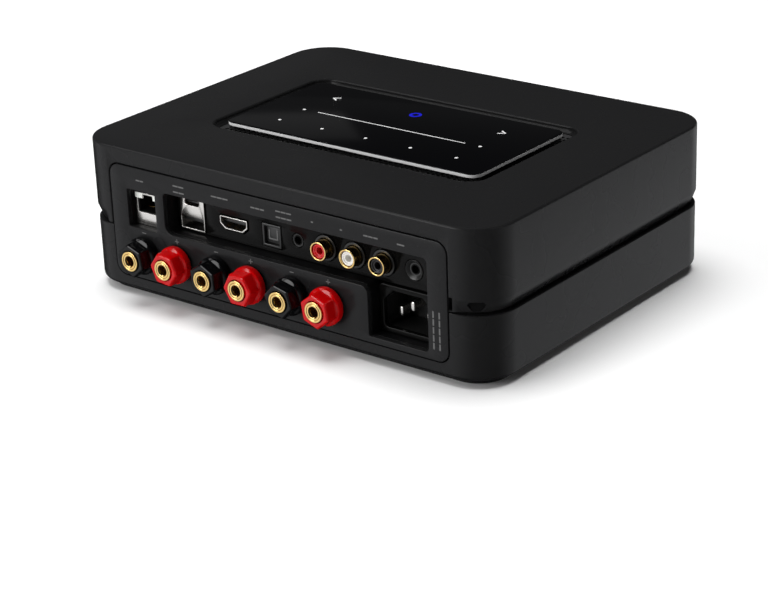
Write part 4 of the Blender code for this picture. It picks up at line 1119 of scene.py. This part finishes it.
# %% USB pair
usb_a = (6.25 * MM, 2.55 * MM, 37.7 * MM)  # half width, half height, height above the base
usb_c = (4.15 * MM, 1.35 * MM, 46.9 * MM)
USB_DEPTH = 11.0 * MM


def slot_outline(centre_x, half_x, half_z, z, radius):
    return lambda grow=0.0: rectangle(
        centre_x - half_x, centre_x + half_x, z - half_z, z + half_z, radius, grow
    )


bm = bmesh.new()
holes = [slot_outline(usb_centre.x, *usb_a, 0.4 * MM), slot_outline(usb_centre.x, *usb_c, 1.3 * MM)]
add_plate(bm, box_hole(usb_low, usb_high, 0.4 * MM, 0.0), holes, usb_high.y, USB_DEPTH, 0.2 * MM)
add_block(bm, tuple(usb_low), (usb_high.x, usb_high.y - USB_DEPTH, usb_high.z))
make_piece("usb_shell", bm, nickel_plate, replaces=["usb_stack"])
for name, node, material, slot, count, pitch, side in (
    ("usb_a_blade", "usb_a_tongue", insert_black, "black", 4, 2.3 * MM, 1),
    ("usb_c_blade", "usb_c_tongue", insert_black, "black", 8, 0.6 * MM, 1),
    ("video_blade", "video_tongue", insert_black, "black", 9, 1.0 * MM, -1),
):
    low, high, centre = node_box(node)
    bm = bmesh.new()
    add_block(bm, tuple(low), tuple(high), 0.1 * MM)
    make_piece(name, bm, material, replaces=[node])
    bm = bmesh.new()
    face = high.z if side > 0 else low.z
    for k in range(count):
        x = centre.x + (k - (count - 1) / 2) * pitch
        bottom, top = sorted((face, face + side * 0.06 * MM))
        add_block(
            bm, (x - pitch * 0.28, low.y, bottom), (x + pitch * 0.28, high.y - 0.5 * MM, top), 0.02 * MM
        )
    make_piece(name + "_contacts", bm, gold_plate)
print("USB pair and tongues")

# %% [markdown]
# ## Video socket
# The shell has two lower corners tucked in, so that a plug fits one way only. One outline serves three
# times here: for the plate's hole, for the shell and, shrunk by the sheet's thickness, for its mouth. A
# black liner closes the mouth at the back, because the plating would otherwise glow in the dark of the
# socket.

# %% Video socket
SHEET = 0.5 * MM
VIDEO_DEPTH = 9.5 * MM
bm = bmesh.new()
add_plate(
    bm, video_outline, [lambda grow=0.0: video_outline(grow - SHEET)], video_high.y, VIDEO_DEPTH, 0.12 * MM
)
add_prism(bm, video_outline(), video_low.y, video_high.y - VIDEO_DEPTH)
make_piece("video_shell", bm, nickel_plate, replaces=["video_jack"])
bm = bmesh.new()
add_prism(
    bm, video_outline(-SHEET - 0.05 * MM), video_high.y - VIDEO_DEPTH, video_high.y - VIDEO_DEPTH + 0.4 * MM
)
make_piece("video_liner", bm, well_black)
print("video socket:", round((video_high.x - video_low.x) / MM, 1), "mm wide")

# %% [markdown]
# ## Optical socket
# A square block with a spring door. The door hangs on the block's upper edge and swings inwards when a plug
# pushes it, so it rides on its own body. A raised U on its face guides the plug's nose.

# %% Optical socket and its door
MOUTH = 7.8 * MM
door_low, door_high, door_centre = node_box("optical_shutter")
U_WIDTH, U_RISE = 0.7 * MM, 0.12 * MM


def optical_mouth(grow=0.0):
    x, z, half = optical_centre.x, optical_centre.z, MOUTH / 2
    return rectangle(x - half, x + half, z - half, z + half, 0.3 * MM, grow)


bm = bmesh.new()
OPTICAL_DEPTH = 10.5 * MM
add_plate(
    bm,
    box_hole(optical_low, optical_high, 0.5 * MM, 0.0),
    [optical_mouth],
    optical_high.y,
    OPTICAL_DEPTH,
    0.35 * MM,
)
add_block(bm, tuple(optical_low), (optical_high.x, optical_high.y - OPTICAL_DEPTH, optical_high.z))
make_piece("optical_block", bm, insert_black, replaces=["optical_jack"])
bm = bmesh.new()
add_block(bm, tuple(door_low), tuple(door_high), 0.2 * MM)
make_piece("optical_flap", bm, insert_black, "optical_door", ["optical_shutter"])
half = 2.5 * MM
u_corners = [
    (-half, half),
    (-half, -half * 0.85),
    (half, -half * 0.85),
    (half, half),
    (half - U_WIDTH, half),
    (half - U_WIDTH, U_WIDTH - half * 0.85),
    (U_WIDTH - half, U_WIDTH - half * 0.85),
    (U_WIDTH - half, half),
]
bm = bmesh.new()
u_outline = rounded([(door_centre.x + x, door_centre.z + z) for x, z in u_corners], 0.3 * MM, 3)
add_prism(bm, u_outline, door_high.y - 0.05 * MM, door_high.y + U_RISE)
make_piece("optical_guide", bm, mark_grey, "optical_door")
print("door:", [round(v / MM, 1) for v in (door_high - door_low)], "mm")

# %% [markdown]
# ## Small phone sockets
# Everything round is turned: a half section is written as radius and depth, its corners are eased, and it
# is spun about the socket's axis. These two are a black bush with a bore, and a thin ring round the bore's
# mouth.

# %% Small phone sockets
BORE = 1.78 * MM
BORE_DEPTH = 10.5 * MM


def add_phone_socket(bm, centre, radius, recess, front, back):
    rim = BORE + 1.0 * MM
    profile = [
        (0.0, front - BORE_DEPTH),
        (BORE, front - BORE_DEPTH),
        (BORE, front - recess),
        (rim, front - recess),
        (radius, front),
        (radius, port_low.y - HAIR),
        (radius + 1.2 * MM, port_low.y - HAIR),
        (radius + 1.2 * MM, back),
        (0.0, back),
    ]
    add_turned(bm, profile, centre.x, centre.z, 0.1 * MM, 48)


for name, node, centre, radius, recess in (
    ("aux_socket", "aux_jack", aux_centre, AUX_RADIUS, 0.6 * MM),
    ("remote_socket", "ir_jack", ir_centre, IR_RADIUS, 1.2 * MM),
):
    low, high, _ = node_box(node)
    bm = bmesh.new()
    add_phone_socket(bm, centre, radius, recess, high.y, low.y)
    make_piece(name, bm, insert_black, replaces=[node])
    bm = bmesh.new()
    face = high.y - recess
    collar = [
        (BORE - 0.02 * MM, face - 2 * MM),
        (BORE - 0.02 * MM, face + 0.1 * MM),
        (BORE + 0.45 * MM, face + 0.1 * MM),
        (BORE + 0.45 * MM, face - 0.02 * MM),
    ]
    add_turned(bm, collar, centre.x, centre.z, 0.03 * MM, 40)
    make_piece(name + "_ring", bm, port_grey)
print("phone sockets: aux and remote")

# %% [markdown]
# ## Phono sockets
# Each is three nested parts: a black washer, a gilt barrel and a coloured insert with a hole for the plug's
# pin. One moulded block joins the three washers behind the plate, so it is one piece, and its three bores
# are cut through. Barrel and insert are turned separately, because gilt metal and coloured plastic meet in
# a sharp line.

# %% Phono sockets
block_low, block_high, _ = node_box("rca_block")
bm = bmesh.new()
for centre in rca_centres:
    washer = [
        (4.45 * MM, port_low.y),
        (4.45 * MM, block_high.y),
        (WASHER_RADIUS, block_high.y),
        (WASHER_RADIUS, port_low.y),
    ]
    add_turned(bm, washer, centre.x, centre.z, 0.2 * MM)
washer_back = port_low.y - HAIR
add_block(bm, tuple(block_low), (block_high.x, washer_back, block_high.z), 0.3 * MM)
phono_block = make_piece("phono_block", bm, insert_black, replaces=["rca_block"])
holes = []
for number, centre in enumerate(rca_centres, 1):
    bm = bmesh.new()
    add_prism(bm, circle(centre.x, centre.z, 4.45 * MM, 48), block_low.y + 1.7 * MM, washer_back + 0.1 * MM)
    holes.append(make_cutter(f"phono_bore_{number}", bm))
carve(phono_block, holes)

for number, (centre, insert) in enumerate(zip(rca_centres, (insert_red, insert_white, insert_black)), 1):
    low, high, _ = node_box(f"rca_barrel_{number}")
    radius = (high.x - low.x) / 2
    inner = radius - 0.8 * MM
    barrel = [
        (0.0, low.y),
        (radius, low.y),
        (radius, high.y),
        (inner, high.y),
        (inner, low.y + 1.5 * MM),
        (0.0, low.y + 1.5 * MM),
    ]
    bm = bmesh.new()
    add_turned(bm, barrel, centre.x, centre.z, 0.25 * MM, 72)
    make_piece(f"phono_barrel_{number}", bm, gold_plate, replaces=[f"rca_barrel_{number}"])
    low, high, _ = node_box(f"rca_insert_{number}")
    outer = (high.x - low.x) / 2
    sleeve = [
        (0.0, low.y),
        (outer, low.y),
        (outer, high.y),
        (2.5 * MM, high.y),
        (2.1 * MM, high.y - 0.5 * MM),
        (1.6 * MM, high.y - 0.5 * MM),
        (1.6 * MM, low.y + 2.2 * MM),
        (0.0, low.y + 2.2 * MM),
    ]
    bm = bmesh.new()
    add_turned(bm, sleeve, centre.x, centre.z, 0.15 * MM, 56)
    slot = {1: "insert_red", 2: "white", 3: "black"}[number]
    make_piece(f"phono_insert_{number}", bm, insert, replaces=[f"rca_insert_{number}"])
print("phono sockets:", len(rca_centres))

# %% [markdown]
# ## Mains inlet
# A deep cavity with two chamfered upper corners and three flat pins. The flange fills the lower part of the
# well. The pins are blades with eased ends, set back from the mouth so that nobody can touch them.

# %% Mains inlet
INLET_CENTRE = (-65.1 * MM, 22.6 * MM)
INLET_HALF_X, INLET_HALF_Z, INLET_CHAMFER = 12.0 * MM, 8.15 * MM, 4.5 * MM
CAVITY_DEPTH = 16.0 * MM


def inlet_mouth(grow=0.0):
    a, h, c = INLET_HALF_X + grow, INLET_HALF_Z + grow, INLET_CHAMFER
    corners = [(a, h - c), (a - c, h), (-a + c, h), (-a, h - c), (-a, -h), (a, -h)]
    radii = [0.8 * MM, 0.8 * MM, 0.8 * MM, 0.8 * MM, 2.2 * MM + grow, 2.2 * MM + grow]
    return rounded([(INLET_CENTRE[0] + x, INLET_CENTRE[1] + z) for x, z in corners], radii)


def inlet_flange(grow=0.0):
    return rectangle(inlet_low.x, inlet_high.x, inlet_low.z, inlet_high.z, 2 * MM, grow)


bm = bmesh.new()
add_plate(bm, inlet_flange, [inlet_mouth], inlet_high.y, 2 * MM, 0.4 * MM)
make_piece("inlet_flange", bm, port_grey, replaces=["mains_inlet"])
bm = bmesh.new()
add_plate(
    bm,
    lambda grow=0.0: inlet_mouth(1.5 * MM + grow),
    [lambda grow=0.0: inlet_mouth(0.1 * MM + grow)],
    inlet_high.y - 2.02 * MM,
    CAVITY_DEPTH - 2 * MM,
    0.05 * MM,
)
add_prism(bm, inlet_mouth(1.5 * MM), inlet_low.y, inlet_high.y - CAVITY_DEPTH - 0.02 * MM)
make_piece("inlet_cavity", bm, insert_black)
for node in ("mains_pin_line", "mains_pin_neutral", "mains_pin_earth"):
    low, high, _ = node_box(node)
    bm = bmesh.new()
    add_block(bm, tuple(low), tuple(high), 0.55 * MM)
    make_piece(node.replace("mains_pin", "inlet_blade"), bm, nickel_plate, replaces=[node])
print("mains inlet with 3 blades")

# %% [markdown]
# ## Speaker posts
# Each post is a gilt stud with a bore for a 4 mm plug, a steel collar, and a cap that screws down on a bare
# wire. Stud and collar are turned from half sections. The stud's face gets a fine groove, which is what
# makes it look machined. The collar rides on its own body, because it slides out with the cap and doesn't
# turn.

# %% Studs and collars
STUD_RADIUS, STUD_BORE, NUT_RADIUS = 4.5 * MM, 2.1 * MM, 7.0 * MM
BORE_LENGTH = 15.0 * MM
for number, (x, z) in enumerate(post_places, 1):
    low, high, _ = node_box(f"post_stud_{number}")
    nut_back = low.y + 7 * MM
    profile = [
        (0.0, low.y),
        (STUD_RADIUS, low.y),
        (STUD_RADIUS, nut_back),
        (NUT_RADIUS, nut_back),
        (NUT_RADIUS, nut_back + 2.8 * MM),
        (STUD_RADIUS, nut_back + 2.8 * MM),
        (STUD_RADIUS, high.y),
        (STUD_RADIUS - 0.9 * MM, high.y),
        (STUD_RADIUS - 1.05 * MM, high.y - 0.3 * MM),
        (STUD_RADIUS - 1.2 * MM, high.y),
        (STUD_BORE + 0.5 * MM, high.y),
        (STUD_BORE, high.y - 0.7 * MM),
        (STUD_BORE, high.y - BORE_LENGTH),
        (0.0, high.y - BORE_LENGTH),
    ]
    bm = bmesh.new()
    add_turned(bm, profile, x, z, 0.2 * MM, 64)
    make_piece(f"stud_{number}", bm, gold_plate, replaces=[f"post_stud_{number}"])
    low, high, _ = node_box(f"post_collar_{number}")
    outer = (high.x - low.x) / 2
    ring = [
        (STUD_RADIUS + 0.3 * MM, low.y), (STUD_RADIUS + 0.3 * MM, high.y), (outer, high.y), (outer, low.y)
    ]
    bm = bmesh.new()
    add_turned(bm, ring, x, z, 0.2 * MM, 56)
    make_piece(f"collar_{number}", bm, screw_steel, f"post_lift_{number}", [f"post_collar_{number}"])
print("studs and collars:", len(post_places))

# %% [markdown]
# ## Post caps
# The cap's section changes from a round flange to a hexagon with rounded corners. Cutting flats off a
# cylinder gives hard edges, so the cap is lofted from rings whose radius is worked out angle by angle, as
# the smaller of a circle and the hexagon's flats. A soft minimum rounds the corner between the two. Each
# cap stands at its own turn, as caps do when they are screwed home by hand.

# %% Post caps
CAP_STEPS = 96
CAP_SHARP = 9000.0  # how sharply a flat meets a corner's arc, per metre
CAP_CORNER, CAP_FLANGE = 7.5 * MM, 8.3 * MM
CAP_FLANGE_LENGTH = 3.2 * MM
CAP_TURNS = [math.radians(a) for a in (10.0, 24.0, 3.0, 31.0, 17.0, 9.0)]


def cap_ring(radius, flat, x, y, z, turn):
    """A ring that goes from a circle, at `flat` 0, to a hexagon with rounded corners, at 1."""
    points = []
    for k in range(CAP_STEPS):
        angle = 2 * math.pi * k / CAP_STEPS
        off_flat = angle % (math.pi / 3) - math.pi / 6
        side = radius * 0.885 / math.cos(off_flat)
        corner = radius * 1.01
        blend = -math.log(math.exp(-side * CAP_SHARP) + math.exp(-corner * CAP_SHARP)) / CAP_SHARP
        r = radius + (blend - radius) * flat
        points.append((x + r * math.sin(angle + turn), y, z + r * math.cos(angle + turn)))
    return points


def cap_sections(low, high):
    back, end = low.y, high.y
    bore, pocket = STUD_RADIUS + 0.3 * MM, 6.9 * MM
    pocket_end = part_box("post_collar_1")[1].y + 0.3 * MM
    step = back + CAP_FLANGE_LENGTH
    sections = [
        (CAP_FLANGE - 0.6 * MM, 0.0, back),
        (CAP_FLANGE - 0.15 * MM, 0.0, back + 0.15 * MM),
        (CAP_FLANGE, 0.0, back + 0.6 * MM),
        (CAP_FLANGE, 0.0, step - 0.8 * MM),
        (CAP_FLANGE - 0.12 * MM, 0.0, step - 0.35 * MM),
        (CAP_FLANGE - 0.45 * MM, 0.25, step),
        (CAP_CORNER + 0.15 * MM, 0.9, step + 0.25 * MM),
        (CAP_CORNER, 1.0, step + 0.6 * MM),
        (CAP_CORNER, 1.0, end - 1.0 * MM),
        (CAP_CORNER - 0.10 * MM, 1.0, end - 0.55 * MM),
        (CAP_CORNER - 0.35 * MM, 1.0, end - 0.2 * MM),
        (CAP_CORNER - 0.8 * MM, 1.0, end),
        (bore + 0.5 * MM, 0.0, end),
        (bore + 0.1 * MM, 0.0, end - 0.12 * MM),
        (bore, 0.0, end - 0.4 * MM),
        (bore, 0.0, pocket_end),
        (pocket, 0.0, pocket_end),
        (pocket, 0.0, back),
    ]
    return sections


for number, ((x, z), turn) in enumerate(zip(post_places, CAP_TURNS), 1):
    low, high, _ = node_box(f"post_cap_{number}")
    bm = bmesh.new()
    add_rings(bm, [cap_ring(r, flat, x, y, z, turn) for r, flat, y in cap_sections(low, high)], loop=True)
    plastic, slot = (gloss_black, "cap_black") if number % 2 else (clear_red, "cap_red")
    make_piece(f"cap_{number}", bm, plastic, f"post_cap_{number}", [f"post_cap_{number}"], crease=24)
print("caps:", len(CAP_TURNS), "with", CAP_STEPS, "steps each")

# %% [markdown]
# ## Printing on the rear panel
# The real panel carries small legends. None of them is copied: short plain bars stand where a legend would
# be, and the posts get plus and minus signs, which are generic. Each bar is a thin raised strip.

# %% Bars and signs
PRINT_RISE = 0.04 * MM
BAR_HEIGHT = 0.6 * MM
legend_bars = {  # place along X: heights of its bars and their length
    lan_centre.x: ((54.7,), 4.6),
    usb_centre.x: ((56.4, 53.7), 6.4),
    video_centre.x: ((56.0,), 9.6),
    optical_centre.x: ((55.4,), 7.6),
    aux_centre.x: ((56.5, 53.9), 8.6),
    rca_centres[0].x: ((55.5,), 1.4),
    rca_centres[1].x: ((55.2,), 1.4),
    rca_centres[2].x: ((55.3,), 7.6),
    ir_centre.x: ((55.1,), 4.0),
}


def add_bar(bm, x0, x1, z0, z1, radius=0.1 * MM):
    """One printed strip on the rear panel."""
    add_prism(bm, rectangle(x0, x1, z0, z1, radius, steps=2), REAR - PRINT_RISE, REAR + PRINT_RISE)


bm = bmesh.new()
for x, (heights, length) in legend_bars.items():
    for z in heights:
        parts = max(1, round(length / 3))
        piece_length = length / parts * MM
        for k in range(parts):
            start = x - length / 2 * MM + k * piece_length
            foot, top = z * MM - BAR_HEIGHT / 2, z * MM + BAR_HEIGHT / 2
            add_bar(bm, start + 0.15 * MM, start + piece_length - 0.15 * MM, foot, top)
for column_x in (-83.0, -86.0):
    for k in range(5):
        low = (14.0 + k * 3.4) * MM
        add_bar(bm, column_x * MM - 0.35 * MM, column_x * MM + 0.35 * MM, low, low + 2.8 * MM)
make_piece("legend_bars", bm, mark_grey)

SIGN_HALF, SIGN_STROKE, SIGN_Z = 1.1 * MM, 0.4 * MM, 31.0 * MM
bm = bmesh.new()
for number, (x, _) in enumerate(post_places, 1):
    add_bar(bm, x - SIGN_HALF, x + SIGN_HALF, SIGN_Z - SIGN_STROKE / 2, SIGN_Z + SIGN_STROKE / 2, 0.05 * MM)
    if number % 2 == 0:
        for way in (-1, 1):
            z0, z1 = sorted((SIGN_Z + way * SIGN_STROKE / 2, SIGN_Z + way * SIGN_HALF))
            add_bar(bm, x - SIGN_STROKE / 2, x + SIGN_STROKE / 2, z0, z1, 0.05 * MM)
make_piece("polarity_signs", bm, mark_grey)
print("printing: bars over", len(legend_bars), "sockets, signs over", len(post_places), "posts")

# %% [markdown]
# ## What stays as it came
# The dark band behind the groove, the pedestal under the glass and the parts inside the case have the right
# shape already. They keep their CAD meshes and only get a finish.

# %% Finishes for the kept parts
kept_parts = {
    "parting_band": well_black,
    "touch_pedestal": well_black,
    "main_board": board_green,
    "power_board": board_green,
    "transformer": winding_tape,
    "heat_sink": sink_metal,
}
for node, material in kept_parts.items():
    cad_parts[node].data.materials.clear()
    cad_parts[node].data.materials.append(material)
print("kept:", sorted(kept_parts))
